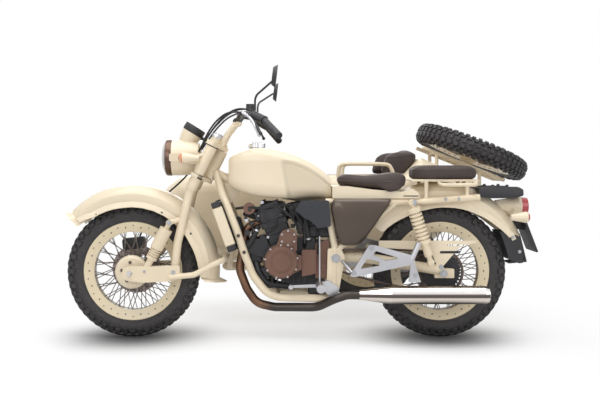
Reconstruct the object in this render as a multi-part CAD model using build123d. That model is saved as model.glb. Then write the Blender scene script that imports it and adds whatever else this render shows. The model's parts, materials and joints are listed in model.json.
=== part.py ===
from math import cos, pi, radians, sin, sqrt, tan
import os

from build123d import *

# A sidecar motorcycle in millimetres: front toward -X, the motorcycle's centre plane at Y = 0, the sidecar
# on +Y, +Z up. While it is drawn, X = 0 lies between the two axles and Z = 0 is the floor. place_all()
# moves the origin.

# Clearances
seat_gap = 0.3            # between pieces that rest on each other
pad_gap = 3.0             # between a brake disc and its pads
chain_gap = 1.5           # between the sprocket's tips and the chain
pin_gap = 0.4             # radial, round a shaft

# Wheels, all four alike
axle_height = 330.0
tyre_diameter = 660.0
tyre_width = 108.0
lug_height = 9.0
lug_rows = 40
rim_diameter = 488.0
rim_width = 84.0
rim_well_diameter = 402.0
rim_wall = 5.0
hub_diameter = 96.0
hub_flange_diameter = 132.0
hub_width = 128.0
axle_diameter = 20.0
spoke_diameter = 4.5
spoke_pairs = 9
disc_diameter = 244.0
disc_thickness = 5.0
cover_diameter = 166.0
cover_depth = 20.0
sprocket_diameter = 196.0
wheelbase = 1520.0

# Steering
rake = 26.5               # degrees from upright
head_x = -322.0
head_z = 930.0
head_diameter = 62.0
fork_spacing = 200.0
fork_tube_diameter = 42.0
fork_cover_diameter = 55.0

# Motorcycle
frame_tube = 38.0
upright_tube = 34.0
cradle_spacing = 220.0
tank_width = 300.0
swingarm_tube = 50.0
swingarm_spacing = 208.0
silencer_diameter = 88.0

# Sidecar
track = 1130.0            # from the motorcycle's plane to the sidecar wheel's
wheel_lead = 250.0        # sidecar wheel ahead of the rear axle
tub_centre = 640.0
tub_width = 600.0
tub_wall = 4.0
chassis_tube = 48.0
spare_tilt = 22.0

front_axle = Vector(-wheelbase / 2, 0, axle_height)
rear_axle = Vector(wheelbase / 2, 0, axle_height)
side_axle = Vector(wheelbase / 2 - wheel_lead, track, axle_height)
steering_axis = Vector(sin(radians(rake)), 0, cos(radians(rake)))
tyre_radius = tyre_diameter / 2
nodes = {}


# General forms

def bent_path(points, radius):
    # Straight runs joined by tangent arcs.
    points = [Vector(*p) for p in points]
    edges = []
    here = points[0]
    for before, corner, after in zip(points, points[1:], points[2:]):
        toward = (before - corner).normalized()
        away = (after - corner).normalized()
        half_turn = (pi - radians(toward.get_angle(away))) / 2
        if half_turn < 0.002:
            continue
        shorter = min((before - corner).length, (after - corner).length)
        reach = min(radius * tan(half_turn), 0.45 * shorter)
        arc_radius = reach / tan(half_turn)
        middle = corner + (toward + away).normalized() * arc_radius * (1 / cos(half_turn) - 1)
        start, end = corner + toward * reach, corner + away * reach
        if (start - here).length > 0.01:
            edges.append(Edge.make_line(here, start))
        edges.append(Edge.make_three_point_arc(start, middle, end))
        here = end
    edges.append(Edge.make_line(here, points[-1]))
    return Wire(edges)


def tube(points, diameter, bend=80.0):
    path = bent_path(points, bend)
    section = Plane(origin=path @ 0, z_dir=path % 0) * Circle(diameter / 2)
    return sweep(section, path=path)


def rod(start, end, diameter):
    start, end = Vector(*start), Vector(*end)
    return extrude(Plane(origin=start, z_dir=end - start) * Circle(diameter / 2), (end - start).length)


def cone(start, end, start_diameter, end_diameter):
    start, end = Vector(*start), Vector(*end)
    length = (end - start).length
    plane = Plane(origin=start, z_dir=end - start)
    return plane * Cone(start_diameter / 2, end_diameter / 2, length,
                        align=(Align.CENTER, Align.CENTER, Align.MIN))


def box(low, high):
    size = [b - a for a, b in zip(low, high)]
    return Pos(*[(a + b) / 2 for a, b in zip(low, high)]) * Box(*size)


def side_plate(points, near, far, round_by=0.0):
    # An outline of (X, Z) points, extruded across from near to far in Y.
    outline = Polygon(*points, align=None)
    if round_by:
        outline = fillet(outline.vertices(), round_by)
    face = Plane(origin=(0, near, 0), x_dir=(1, 0, 0), z_dir=(0, -1, 0)) * outline
    return extrude(face, far - near, dir=(0, 1, 0))


def turned(profile):
    # A closed (radius, along) outline turned about the Y axis.
    face = Plane.XY * Polygon(*profile, align=None)
    return revolve(face, Axis.Y)


def at(place, shape):
    return Pos(*place) * shape


def arc_shell(face, start, end):
    # A (radius, across) face turned about the Y axis between two angles above +X.
    shell = revolve(face, Axis.Y, revolution_arc=end - start)
    return Rot(0, -end, 0) * shell


def fender_section(edge, shoulder, crown, half, wall):
    # The (radius, across) outline of an arched shell that is open toward the wheel.
    outer = [(edge, -half), (shoulder, -half), (crown, 0), (shoulder, half), (edge, half)]
    inner = [(edge, half - wall), (shoulder, half - wall), (crown - wall, 0), (shoulder, wall - half),
             (edge, wall - half)]
    edges = []
    for first, second, middle, third, last in (outer, inner):
        edges += [Edge.make_line(first, second), Edge.make_three_point_arc(second, middle, third),
                  Edge.make_line(third, last)]
    edges += [Edge.make_line(outer[-1], inner[0]), Edge.make_line(inner[-1], outer[0])]
    return Face(Wire(edges))


def fender_solid(shoulder, crown, half, extra=0.0):
    # All that is under a fender's outside, extra larger.
    start, end = (0, -half - extra), (0, half + extra)
    low, high = (shoulder, -half - extra), (shoulder, half + extra)
    edges = [Edge.make_line(start, low), Edge.make_three_point_arc(low, (crown + extra, 0), high),
             Edge.make_line(high, end), Edge.make_line(end, start)]
    return revolve(Face(Wire(edges)), Axis.Y)


def flare(angle, length, section, wider):
    # The outward turn at a fender's end: from its section at an angle to a wider one further along.
    turn = radians(angle)
    radial, along = Vector(cos(turn), 0, sin(turn)), Vector(-sin(turn), 0, cos(turn))
    normal = radial.cross(Vector(0, 1, 0))
    planes = [Plane(origin=along * step, x_dir=radial, z_dir=normal) for step in (0, length)]
    return loft([planes[0] * section, planes[1] * wider], ruled=True)


def pair(make):
    # The left and right copies of a piece, as one node.
    return Compound(children=[make(-1), make(1)])


def fuse(first, *others):
    return first.fuse(*others) if others else first


def join(pieces):
    # One at a time, for tubes that meet end on.
    whole = pieces[0]
    for piece in pieces[1:]:
        whole = whole.fuse(piece)
    return whole


def keep(name, shape):
    nodes[name] = shape


# Wheels

def tyre():
    # A casing with rows of lugs: one in the middle and a canted one at each shoulder, half a row apart.
    half, tread = tyre_width / 2, tyre_radius - lug_height
    bead, belly = rim_diameter / 2 - 12, rim_diameter / 2 + 34
    seat, lip = rim_width / 2 - 8 - 2 * seat_gap, rim_width / 2 - 4 - 2 * seat_gap
    flank = [(bead, seat), (rim_diameter / 2, lip), (rim_diameter / 2 + seat_gap, rim_width / 2 + 2),
             (belly, half * 0.96), (tread - 20, half * 0.96), (tread, half * 0.5)]
    casing = turned([(radius, -across) for radius, across in flank] + flank[::-1])
    sunk = 6.0
    # columns: across, radius of the top, cant in degrees, along, across, share of a row
    table = [(0, tyre_radius - 0.6, 0, 34, 32, 0), (-37, tyre_radius - 8.2, 34, 28, 27, 0.5),
             (37, tyre_radius - 8.2, -34, 28, 27, 0.5)]
    lugs = []
    for across, top, cant, length, width, share in table:
        lug = Pos(0, 0, -(lug_height + sunk) / 2) * Box(length, width, lug_height + sunk)
        lug = Pos(0, across, top) * Rot(cant, 0, 0) * lug
        for row in range(lug_rows):
            lugs.append(Rot(0, 360 * (row + share) / lug_rows, 0) * lug)
    return casing.fuse(*lugs)


def rim():
    # A cross-spoked rim: its outer flange carries the nipples, outside the bead seat.
    outer, well, half = rim_diameter / 2, rim_well_diameter / 2, rim_width / 2
    bead = outer - 12 - seat_gap
    profile = [
        (well, -half + 14), (outer - 8, -half), (outer, -half), (outer, -half + 4), (bead, -half + 8),
        (bead, half - 8), (outer, half - 4), (outer, half), (outer - 8, half), (well, half - 14),
        (well, half - 22), (bead - rim_wall, half - 26), (bead - rim_wall, -half + 26), (well, -half + 22),
    ]
    return turned(profile)


def hub():
    half, flange = hub_width / 2, hub_flange_diameter / 2
    core = hub_diameter / 2
    bore = axle_diameter / 2 + pin_gap
    profile = [
        (bore, -half), (core * 0.7, -half), (core, -half + 14), (flange, -half + 22), (flange, -half + 27),
        (core * 0.8, -half + 36), (core * 0.8, half - 36), (flange, half - 27), (flange, half - 22),
        (core, half - 14), (core * 0.7, half), (bore, half),
    ]
    return turned(profile)


def spokes():
    # Pairs that cross: each leaves a hub flange almost at a tangent and ends at the rim's outer ring.
    made = []
    flange_radius = hub_flange_diameter / 2 - 5
    ring_radius = rim_diameter / 2 - 20
    step = 360 / (2 * spoke_pairs)
    for side in (-1, 1):
        for number in range(2 * spoke_pairs):
            lean = 1 if number % 2 else -1
            inner_angle = radians(step * number + (step / 2 if side > 0 else 0))
            outer_angle = inner_angle + radians(lean * 38)
            inner_y = side * (hub_width / 2 - 24.5 + lean * 3.2)
            outer_y = side * (rim_width / 2 - 8)
            start = (flange_radius * cos(inner_angle), inner_y, flange_radius * sin(inner_angle))
            end = (ring_radius * cos(outer_angle), outer_y, ring_radius * sin(outer_angle))
            made.append(rod(start, end, spoke_diameter))
    return made


def spoked_wheel():
    return fuse(rim(), hub(), *spokes())


def brake_disc():
    # Lies on the hub's right face: a carrier, and a ring with rows of holes.
    near = hub_width / 2 + seat_gap
    outer, inner = disc_diameter / 2, disc_diameter / 2 - 34
    profile = [(axle_diameter, near), (outer, near), (outer, near + disc_thickness),
               (axle_diameter, near + disc_thickness)]
    disc = turned(profile)
    windows = []
    for number in range(6):
        angle = radians(60 * number)
        reach = (hub_diameter / 2 + inner) / 2
        windows.append(rod((reach * cos(angle), near - 1, reach * sin(angle)),
                           (reach * cos(angle), near + disc_thickness + 1, reach * sin(angle)), 26))
    return disc.cut(*windows)


def hub_cover():
    # Lies on the hub's left face.
    near, radius = -hub_width / 2 - seat_gap, cover_diameter / 2
    profile = [(axle_diameter, near), (radius - 12, near), (radius, near - 6),
               (radius - 4, near - cover_depth + 4),
               (radius - 14, near - cover_depth), (axle_diameter, near - cover_depth)]
    return turned(profile)


def sprocket():
    near, radius = -hub_width / 2 - seat_gap, sprocket_diameter / 2
    teeth = 36
    depth = 7.0
    points = []
    for number in range(teeth):
        for share, reach in ((0.0, radius - depth), (0.3, radius - depth), (0.5, radius), (0.75, radius)):
            angle = 2 * pi * (number + share) / teeth
            points.append((reach * cos(angle), reach * sin(angle)))
    plane = Plane(origin=(0, near, 0), x_dir=(1, 0, 0), z_dir=(0, -1, 0))
    blank = extrude(plane * Polygon(*points, align=None), 8)
    return blank.cut(rod((0, near + 1, 0), (0, near - 9, 0), 2 * axle_diameter))


caliper_reach = disc_diameter / 2 + 8     # from the axle to the caliper's middle


def caliper(centre, side, angle, arm_from, arm_to, mount_y):
    # Straddles a disc on one side of a wheel. angle is above +X; the arm runs from one (X, Z) place to
    # another,
    # and its boss reaches out to mount_y from the wheel's plane.
    near, far = hub_width / 2 - 15, hub_width / 2 + 34
    block = Pos(caliper_reach, (near + far) / 2, 0) * Box(58, far - near, 112)
    block = fillet(block.edges().filter_by(Axis.Y), 14)
    pistons = [rod((caliper_reach + 2, far - 2, step), (caliper_reach + 2, far + 6, step),
                   42) for step in (-26, 26)]
    slot = rod((0, hub_width / 2 + seat_gap - pad_gap, 0),
               (0, hub_width / 2 + disc_thickness + seat_gap + pad_gap, 0),
               disc_diameter + 2 * pad_gap)
    block = Rot(0, -angle, 0) * fuse(block, *pistons).cut(slot)
    if side < 0:
        block = mirror(block, Plane.XZ)
    y = side * (hub_width / 2 + 18)
    low, high = sorted((y, y + side * 10))
    toward = Vector(arm_to[0] - arm_from[0], 0, arm_to[1] - arm_from[1]).normalized()
    across = Vector(toward.Z, 0, -toward.X) * 20
    start, end = [Vector(x - centre.X, 0, z - centre.Z) for x, z in (arm_from, arm_to)]
    corners = [(place.X, place.Z) for place in (start + across, end + across * 0.7, end - across * 0.7,
                                                start - across)]
    boss = rod(end + Vector(0, y, 0), end + Vector(0, side * mount_y, 0), 24)
    return at(centre, fuse(block, side_plate(corners, low, high, 6), boss))


def build_wheels():
    wheel, casing = spoked_wheel(), tyre()
    for name, centre in (("front", front_axle), ("rear", rear_axle), ("sidecar", side_axle)):
        keep(f"{name}_tyre", at(centre, casing))
        keep(f"{name}_wheel", at(centre, wheel))
        side_turn = 180 if name == "sidecar" else 0
        keep(f"{name}_brake_disc", at(centre, Rot(0, 0, side_turn) * brake_disc()))
    keep("front_hub_cover", at(front_axle, hub_cover()))
    keep("rear_sprocket", at(rear_axle, sprocket()))
    return wheel, casing


# Steering: everything that turns with the bar. fork(x, y, z) is a place from the head: forward, left to
# right, up along the steering axis.

head = Vector(head_x, 0, head_z)
forward = Vector(-cos(radians(rake)), 0, sin(radians(rake)))
fork_offset = 45.0
clamp_gap = 176.0
clamp_thickness = 20.0
leg_y = 100.0
lamp_x, lamp_z, lamp_radius = -580.0, 893.0, 89.0
link_pivot = Vector(front_axle.X + 212, 0, axle_height + 6)
link_half = 18.0
arm_y = 122.0


def fork(x, y, z):
    return head + forward * x + Vector(0, y, 0) + steering_axis * z


def clamp(height):
    # A flat yoke across both fork tubes, with the stem at its middle.
    half = fork_spacing / 2
    outline = [(-27, -16), (fork_offset - 4, -half - 32), (fork_offset + 34, -half - 26),
               (fork_offset + 30, 0), (fork_offset + 34, half + 26), (fork_offset - 4, half + 32), (-27, 16)]
    plane = Plane(origin=fork(0, 0, height), x_dir=forward, z_dir=steering_axis)
    face = plane * fillet(Polygon(*outline, align=None).vertices(), 10)
    return extrude(face, clamp_thickness)


def fork_leg(side):
    # Upper tube, then the curved lower leg down to the leading arm's pivot.
    y = side * fork_spacing / 2
    top = fork(fork_offset, y, clamp_thickness + 24)
    knee = fork(fork_offset, y, -clamp_gap - 70)
    low = Vector(link_pivot.X, side * leg_y, link_pivot.Z)
    mid = Vector(low.X + 16, side * leg_y, low.Z + 140)
    leg = tube([top, knee, mid, low], fork_tube_diameter, 220)
    eye = rod(low - Vector(0, 22, 0), low + Vector(0, 22, 0), 56)
    cover = rod(fork(fork_offset, y, -clamp_gap + clamp_thickness + 1), fork(fork_offset, y, -1),
                fork_cover_diameter)
    lower_cover = rod(fork(fork_offset, y, -clamp_gap - 60), fork(fork_offset, y, -clamp_gap - 1),
                      fork_cover_diameter)
    return [leg, eye, cover, lower_cover]


def fork_body():
    stem_radius = 17.0
    stem = rod(fork(0, 0, -clamp_gap + 2), fork(0, 0, clamp_thickness + 12), 2 * stem_radius)
    pieces = [stem, clamp(0), clamp(-clamp_gap), *fork_leg(-1), *fork_leg(1)]
    for side in (-1, 1):
        # The lamp's ear, off the front of each fork cover.
        low, high = sorted((side * (lamp_radius + seat_gap), side * (lamp_radius + 8)))
        ear = [(lamp_x + 6, lamp_z - 18), (lamp_x + 6, lamp_z + 18), (lamp_x + 150, lamp_z + 24),
               (lamp_x + 180, lamp_z - 40)]
        pieces.append(side_plate(ear, low, high, 6))
        # The shock's upper bracket, off the front of each leg.
        eye = Vector(front_axle.X + 192, side * (arm_y + 4), 576)
        pieces.append(rod(eye + Vector(46, side * -24, 14), eye, 24))
        pieces.append(rod(eye - Vector(0, 20, 0), eye + Vector(0, 20, 0), 30))
    return fuse(*pieces)


def shock_axis(side):
    upper = Vector(front_axle.X + 192, side * (arm_y + 4), 576)
    lower = Vector(front_axle.X + 72, side * arm_y, axle_height + 10)
    return upper, lower


def leading_link():
    # One U of tube behind the wheel, and a plate arm each side that carries the axle.
    pieces = []
    z = link_pivot.Z
    x = link_pivot.X
    half = arm_y + 15
    loop_points = ((x - 20, -half, z - 24), (x + 100, -half, z - 12), (x + 205, -half, z + 44),
                   (x + 247, -half + 40, z + 60), (x + 247, half - 40, z + 60), (x + 205, half, z + 44),
                   (x + 100, half, z - 12), (x - 20, half, z - 24))
    pieces.append(tube(loop_points, 28, 70))
    outline = [(front_axle.X - 34, axle_height - 20), (front_axle.X - 34, axle_height + 20),
               (front_axle.X - 14, axle_height + 34), (front_axle.X + 100, axle_height + 34),
               (x + 30, z + 34), (x + 34, z - 30), (x - 20, z - 44), (front_axle.X + 60, axle_height - 44),
               (front_axle.X - 14, axle_height - 34)]
    for side in (-1, 1):
        low, high = sorted((side * (arm_y - link_half), side * (arm_y + link_half)))
        plate = side_plate(outline, low, high, 9)
        upper, lower = shock_axis(side)
        pocket = rod(lower, lower + (upper - lower).normalized() * 80, 34 + 2 * seat_gap)
        eye = rod(lower - Vector(0, 12, 0), lower + Vector(0, 12, 0), 34 + 2 * seat_gap)
        pieces.append(plate.cut(pocket, eye))
    pieces.append(rod(front_axle - Vector(0, arm_y + 30, 0), front_axle + Vector(0, arm_y + 30, 0),
                      axle_diameter))
    inner = leg_y + 22 + seat_gap
    leg_room = box((x - 34, -inner, z - 70), (x + 40, inner, z + 70))
    return fuse(*pieces).cut(leg_room)


def shock(upper, lower, stack, upper_eye, lower_eye, eye_length, bolt=0.0):
    # A turned body on the line between two cross-wise eyes. stack columns: from, to, radius, measured from
    # the top.
    down, length = (lower - upper).normalized(), (lower - upper).length
    outline = [(0, 0)]
    for start, end, radius in stack:
        if outline[-1] == (radius, start):
            outline.pop()
            outline.append((radius, end))
        else:
            outline += [(radius, start), (radius, end)]
    outline.append((0, length))
    normal = Vector(0, 1, 0).cross(down).normalized()
    plane = Plane(origin=upper, x_dir=down.cross(normal), z_dir=normal)
    body = revolve(plane * Polygon(*outline, align=None), Axis(upper, down))
    across = Vector(0, eye_length / 2, 0)
    whole = fuse(body, rod(upper - across, upper + across, upper_eye),
                 rod(lower - across, lower + across, lower_eye))
    if bolt:
        whole = whole.cut(*[rod(eye - across * 4, eye + across * 4, bolt) for eye in (upper, lower)])
    return whole


def coil_stack(start, end, turns, outer, inner):
    # The stack rows of a coil spring: turns of wire, with the body showing between them.
    pitch = (end - start) / turns
    rows = []
    for number in range(turns):
        low = start + pitch * number
        rows += [(low, low + pitch * 0.4, inner), (low + pitch * 0.4, low + pitch, outer)]
    return rows


def front_shock(side):
    upper, lower = shock_axis(side)
    length = (lower - upper).length
    stack = [(0, 34, 12), (34, 142, 31.5), *coil_stack(142, 190, 4, 27, 19), (190, 198, 27),
             (198, length, 17)]
    eyed = shock(upper, lower, stack, 22, 34, 23)
    mount = rod(upper - Vector(0, 21, 0), upper + Vector(0, 21, 0), 30 + 2 * seat_gap)
    return eyed.cut(mount)


def front_fender():
    # A deep valanced shell, concentric with the wheel, with a flared lip in front and behind.
    crown, edge, wall = tyre_radius + 98, tyre_radius + 10, 2.5
    half = leg_y - fork_tube_diameter / 2 - seat_gap
    start, end = -5.0, 136.0   # degrees above the rear horizontal, over the top and forward
    section = fender_section(edge, crown - 50, crown, half, wall)
    front = flare(end, 22, section, fender_section(edge + 6, crown - 26, crown + 25, half + 12, wall))
    rear = flare(start, -14, section, fender_section(edge + 22, crown - 14, crown + 38, half + 12, wall))
    return at(front_axle, fuse(arc_shell(section, start, end), front, rear))


def headlamp():
    centre = Vector(lamp_x, 0, lamp_z)
    face_x = centre.X - 27
    radius = lamp_radius
    profile = [(0, 0), (radius - 29, 0), (radius - 9, 6), (radius, 14), (radius, 46), (radius - 5, 60),
               (radius - 11, 110), (radius - 37, 150), (0, 168)]
    plane = Plane(origin=(face_x, 0, centre.Z), x_dir=(0, 0, 1), z_dir=(0, 1, 0))
    shell = plane * Polygon(*profile, align=None)
    shell = revolve(shell, Axis((face_x, 0, centre.Z), (1, 0, 0)))
    return shell


def instrument():
    centre = Vector(-461, 0, 1029)
    tilt = Vector(sin(radians(32)), 0, cos(radians(32)))
    foot = fork_offset + 30 + 2 * seat_gap
    bracket = tube([fork(foot, 0, clamp_thickness / 2), fork(foot + 22, 0, clamp_thickness / 2),
                    centre - tilt * 30], 16, 16)
    return fuse(rod(centre - tilt * 14, centre + tilt * 18, 108),
                cone(centre - tilt * 50, centre - tilt * 14, 52, 96), bracket)


# columns: x, half the spread, z
bar_points = [(-245, 60, 1068), (-222, 150, 1105), (-175, 215, 1100), (-105, 285, 1063), (-40, 400, 991)]


def bar_tube(diameter):
    left = [(x, -y, z) for x, y, z in reversed(bar_points)]
    return tube(left + bar_points, diameter, 60)


def handlebar():
    pieces = [bar_tube(22)]
    for side in (-1, 1):
        foot = fork(8, side * 52, clamp_thickness + seat_gap)
        pieces.append(tube([foot, foot + steering_axis * 60, (-245, side * 52, 1068)], 26, 60))
        pieces.append(rod((-245, side * 38, 1068), (-245, side * 66, 1068), 40))
    return fuse(*pieces)


def controls():
    # Grips, switch housings, lever perches, levers with ball ends, and the right-hand fluid reservoir.
    pieces = []
    for side in (-1, 1):
        end = Vector(-40, side * 400, 991)
        inner = Vector(-105, side * 285, 1063)
        along = (end - inner).normalized()
        grip = rod(inner + along * 4, end + along * 8, 35)
        start = Vector(-175, side * 215, 1100)
        back = (inner - start).normalized()
        block = rod(start + back * 26, inner + back * 2, 44)
        perch = start + back * 34 + Vector(-30, 0, 4)
        lever = tube([perch, Vector(-150, side * 285, 1058), Vector(-121, side * 370, 1000)], 11, 60)
        ball = Pos(-121, side * 370, 1000) * Sphere(9)
        clamp_rod = rod(perch + Vector(-4, 0, 0), start + back * 40, 20)
        whole = [grip, block, clamp_rod, lever, ball]
        if side > 0:
            whole.append(rod((-190, 250, 1130), (-190, 250, 1178), 44))
            whole.append(rod((-190, 250, 1140), start + back * 44, 16))
        pieces.append(fuse(*whole).cut(bar_tube(22 + 2 * seat_gap)))
    return pieces


def mirror_piece(side):
    glass = Vector(-41, side * 420, 1256)
    stem = tube([(-150, side * 232, 1112), (-150, side * 232, 1180), (-70, side * 330, 1240),
                 (-52, side * 400, 1248)], 10, 40)
    shell = Plane(origin=glass - Vector(16, 0, 0), z_dir=(1, 0, -0.12)) * Cone(40, 53, 20)
    return fuse(stem, shell)


def front_caliper():
    return caliper(front_axle, 1, 96, (front_axle.X + 18, axle_height + 112),
                   (front_axle.X + 110, axle_height + 10),
                   arm_y - link_half - seat_gap)


cable_diameter = 9.0


def control_cables():
    # Held from end to end: a clutch cable and a loom on the left, a loom on the right, all into the lamp's
    # back, and
    # the brake hose down to the caliper. columns: x, y, z
    routes = [
        [(-187.8, -237.3, 1092.9), (-232, -228, 1108), (-288, -196, 1104), (-340, -152, 1068),
         (-384, -112, 1012),
         (-416, -84, 948), (-436, -56, 915), (-478, -30, 895)],
        [(-154.4, -235.6, 1106.2), (-180, -210, 1119.8), (-240, -154, 1128), (-302, -108, 1098),
         (-356, -80, 1040),
         (-404, -58, 970), (-432, -36, 925), (-474, -14, 900)],
        [(-154.4, 235.6, 1106.2), (-180, 210, 1119.8), (-240, 154, 1128), (-302, 108, 1098), (-356, 80, 1040),
         (-404, 58, 970), (-432, 36, 925), (-474, 14, 900)],
        [(-214, 250, 1152), (-259, 240, 1148), (-316, 196, 1112), (-370, 146, 1052), (-416, 104, 984),
         (-444, 78, 905), (-492, 64, 815), (-545, 64, 762), (-592, 70, 722), (-642, 90, 676), (-694, 97, 600),
         (-728, 96, 540), (-752, 86, 480)],
    ]
    room = [headlamp(), front_caliper()]
    made = []
    for points in routes:
        cable = tube(points, cable_diameter, 400)
        made.append(cable.cut(*room))
        turns = []
        for before, corner, after in zip(points, points[1:], points[2:]):
            toward, away = Vector(*before) - Vector(*corner), Vector(*after) - Vector(*corner)
            half_turn = (pi - radians(toward.get_angle(away))) / 2
            turns.append(round(0.45 * min(toward.length, away.length) / tan(half_turn)))
        print("cable length", round(cable.volume / (pi * cable_diameter ** 2 / 4)), "bend radii", turns)
    return made


def front_indicator(side):
    body = fuse(cone((-424, side * 135, 889), (-490, side * 135, 889), 22, 53),
                cone((-490, side * 135, 889), (-515, side * 135, 889), 53, 44))
    y = side * fork_spacing / 2
    arm = rod((-452, side * 135, 889), fork(fork_offset, y, -34), 14)
    cover = rod(fork(fork_offset, y, -160), fork(fork_offset, y, 0), fork_cover_diameter + 2 * seat_gap)
    return fuse(body, arm.cut(cover))


def build_steering():
    keep("fork", fork_body())
    keep("leading_link", leading_link())
    keep("front_shocks", Compound(children=[front_shock(-1), front_shock(1)]))
    keep("front_fender", front_fender())
    keep("headlamp", headlamp())
    keep("instrument", instrument())
    keep("handlebar", handlebar())
    keep("controls", Compound(children=controls()))
    keep("mirrors", Compound(children=[mirror_piece(-1), mirror_piece(1)]))
    keep("front_caliper", front_caliper())
    keep("control_cables", Compound(children=control_cables()))
    keep("front_indicators", Compound(children=[front_indicator(-1), front_indicator(1)]))


# Motorcycle body

pivot_bolt = Vector(239, 0, 402)
shock_y = 168.0
rail_tube = 32.0
rail_z = 677.0
rail_top = rail_z + rail_tube / 2
fender_crown = tyre_radius + 112       # radius of the rear fender's top
fender_top = axle_height + fender_crown
bridge_reach = fender_crown + 12 + seat_gap
rear_bridge_x = rear_axle.X - sqrt(bridge_reach ** 2 - (rail_z - axle_height) ** 2)


def frame_tubes(extra=0.0):
    # The tubes that other pieces clamp to, extra thicker for the fits round them.
    half = cradle_spacing / 2
    made = []
    for side in (-1, 1):
        y = side * half
        # columns: x, y, z
        down = [(-351, side * 16, 822), (-315, side * 60, 708), (-283, y, 641), (-245, y, 544),
                (-204, y, 421),
                (-163, y, 317), (-100, y, 236), (-42, y, 212), (230, y, 204)]
        upright = [(196, y, 672), (234, y, 458), (232, y, 226)]
        rail = [(190, y, rail_z), (660, y, rail_z), (940, y, rail_z + 22)]
        made += [tube(down, frame_tube + 2 * extra, 150), tube(upright, upright_tube + 2 * extra, 160),
                 tube(rail, rail_tube + 2 * extra, 160), rod((245, y, 440), (540, y, rail_z), 28 + 2 * extra)]
    return made


frame_plate_out = 13.0    # the pivot plates' outer faces, from the cradle tubes' line


def main_frame():
    half = cradle_spacing / 2
    low = -clamp_gap + clamp_thickness + 3
    pieces = [rod(head + steering_axis * low, head + steering_axis * -3, head_diameter), *frame_tubes()]
    for side in (-1, 1):
        y = side * half
        plate = [(200, 449), (262, 455), (284, 410), (252, 232), (196, 232), (196, 300)]
        near, far = sorted((y - side * 7, y + side * frame_plate_out))
        pieces.append(side_plate(plate, near, far, 8))
        inner = side * (shock_y - 13 - seat_gap)
        pieces.append(rod((600, y, 675), (600, inner, 675), 26))
        pieces.append(rod((600, y, 675), (600, side * (shock_y + 20), 675), 12))
    for x, z in ((-42, 212), (192, 206), (231, 468), (rear_bridge_x, rail_z)):
        pieces.append(rod((x, -half, z), (x, half, z), 24))
    pieces.append(rod((206, -half, rail_z + 1), (206, half, rail_z + 1), rail_tube - 2))
    pieces.append(tube([(-366, 0, 824), (-330, 0, 800), (-120, 0, 730), (204, 0, rail_z - 4)], 50, 200))
    gusset = [(-352, 788), (-330, 812), (-200, 752), (-290, 650), (-318, 700)]
    pieces.append(side_plate(gusset, -12, 12, 10))
    pieces.append(rod(pivot_bolt - Vector(0, half + 20, 0), pivot_bolt + Vector(0, half + 20, 0), 20))
    bore = rod(head + steering_axis * (low - 40), head + steering_axis * 20, 34 + 2 * pin_gap)
    return join(pieces).cut(bore)


cap_x, cap_z = -148.0, 930.0


def fuel_tank():
    # Lofted along its length, with a flat underside that straddles the backbone.
    half = tank_width / 2
    # columns: x, half width, bottom, top, corner round
    floor = rail_top + seat_gap
    sections = [(-284, half * 0.56, floor + 64, 886, 34), (-200, half * 0.92, floor + 22, 930, 58),
                (-60, half, floor, 934, 66), (90, half * 0.88, floor, 884, 56),
                (218, half * 0.62, floor, 790, 30)]
    faces = []
    for x, wide, low, high, corner in sections:
        plane = Plane(origin=(x, 0, (low + high) / 2), x_dir=(0, 1, 0), z_dir=(1, 0, 0))
        faces.append(plane * RectangleRounded(2 * wide, high - low, corner))
    body = loft(faces)
    tunnel = fuse(box((-320, -52, 600), (230, 52, 772)), box((-320, -52, 600), (-100, 52, 800)),
                  box((-320, -40, 600), (-200, 40, 830)))
    cap_seat = rod((cap_x, 0, cap_z), (cap_x, 0, cap_z + 100), 87 + 2 * seat_gap)
    under = box((-400, -half - 20, floor - 100), (400, half + 20, floor))
    return body.cut(tunnel, cap_seat, under)


def filler_cap():
    return rod((cap_x, 0, cap_z + seat_gap), (cap_x, 0, 966), 87)


def cushion(sections):
    # columns: x, half width, bottom, top
    faces = []
    for x, wide, low, high in sections:
        plane = Plane(origin=(x, 0, (low + high) / 2), x_dir=(0, 1, 0), z_dir=(1, 0, 0))
        faces.append(plane * RectangleRounded(2 * wide, high - low, min(wide, (high - low) / 2) * 0.7))
    return loft(faces)


def seat_room():
    # Where the cowl is, with the seat's clearance over it.
    outline = [(200, 0), (200, 752 + seat_gap), (300, 752 + seat_gap), (420, 736 + seat_gap),
               (560, 726 + seat_gap),
               (612, 740 + seat_gap), (640, 722 + seat_gap), (700, 0)]
    return side_plate(outline, -200, 200)


fender_half = 84.0
fender_shoulder = fender_crown - 46
fender_wall = 2.5


def fender_room():
    return at(rear_axle, fender_solid(fender_shoulder, fender_crown, fender_half, seat_gap))


def rider_seat():
    pad = cushion([(246, 60, 775, 800), (330, 96, 757, 802), (470, 145, 745, 806), (560, 140, 745, 812),
                   (588, 118, 752, 800)])
    base = side_plate([(256, 752 + seat_gap), (256, 790), (560, 780), (560, 748), (520, 730)], -50, 50, 2)
    return fuse(pad, base).cut(seat_room())


pillion_base_z = fender_top + 14


def pillion_seat():
    # columns: x, half width, bottom and top from the base
    rows = [(613, 100, 4, 52), (650, 128, -4, 62), (780, 134, -6, 64), (900, 124, -4, 62), (939, 96, 4, 52)]
    pad = cushion([(x, wide, pillion_base_z + low, pillion_base_z + high) for x, wide, low, high in rows])
    return pad.cut(box((500, -200, 700), (1000, 200, pillion_base_z + seat_gap)))


def seat_cowl():
    floor = rail_top + seat_gap
    outline = [(222, floor), (222, 752), (300, 752), (420, 736), (560, 726), (612, 740), (640, 722),
               (648, floor)]
    body = side_plate(outline, -128, 128, 6)
    return body.cut(box((230, -94, 600), (600, 94, 718)), fender_room())


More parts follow.
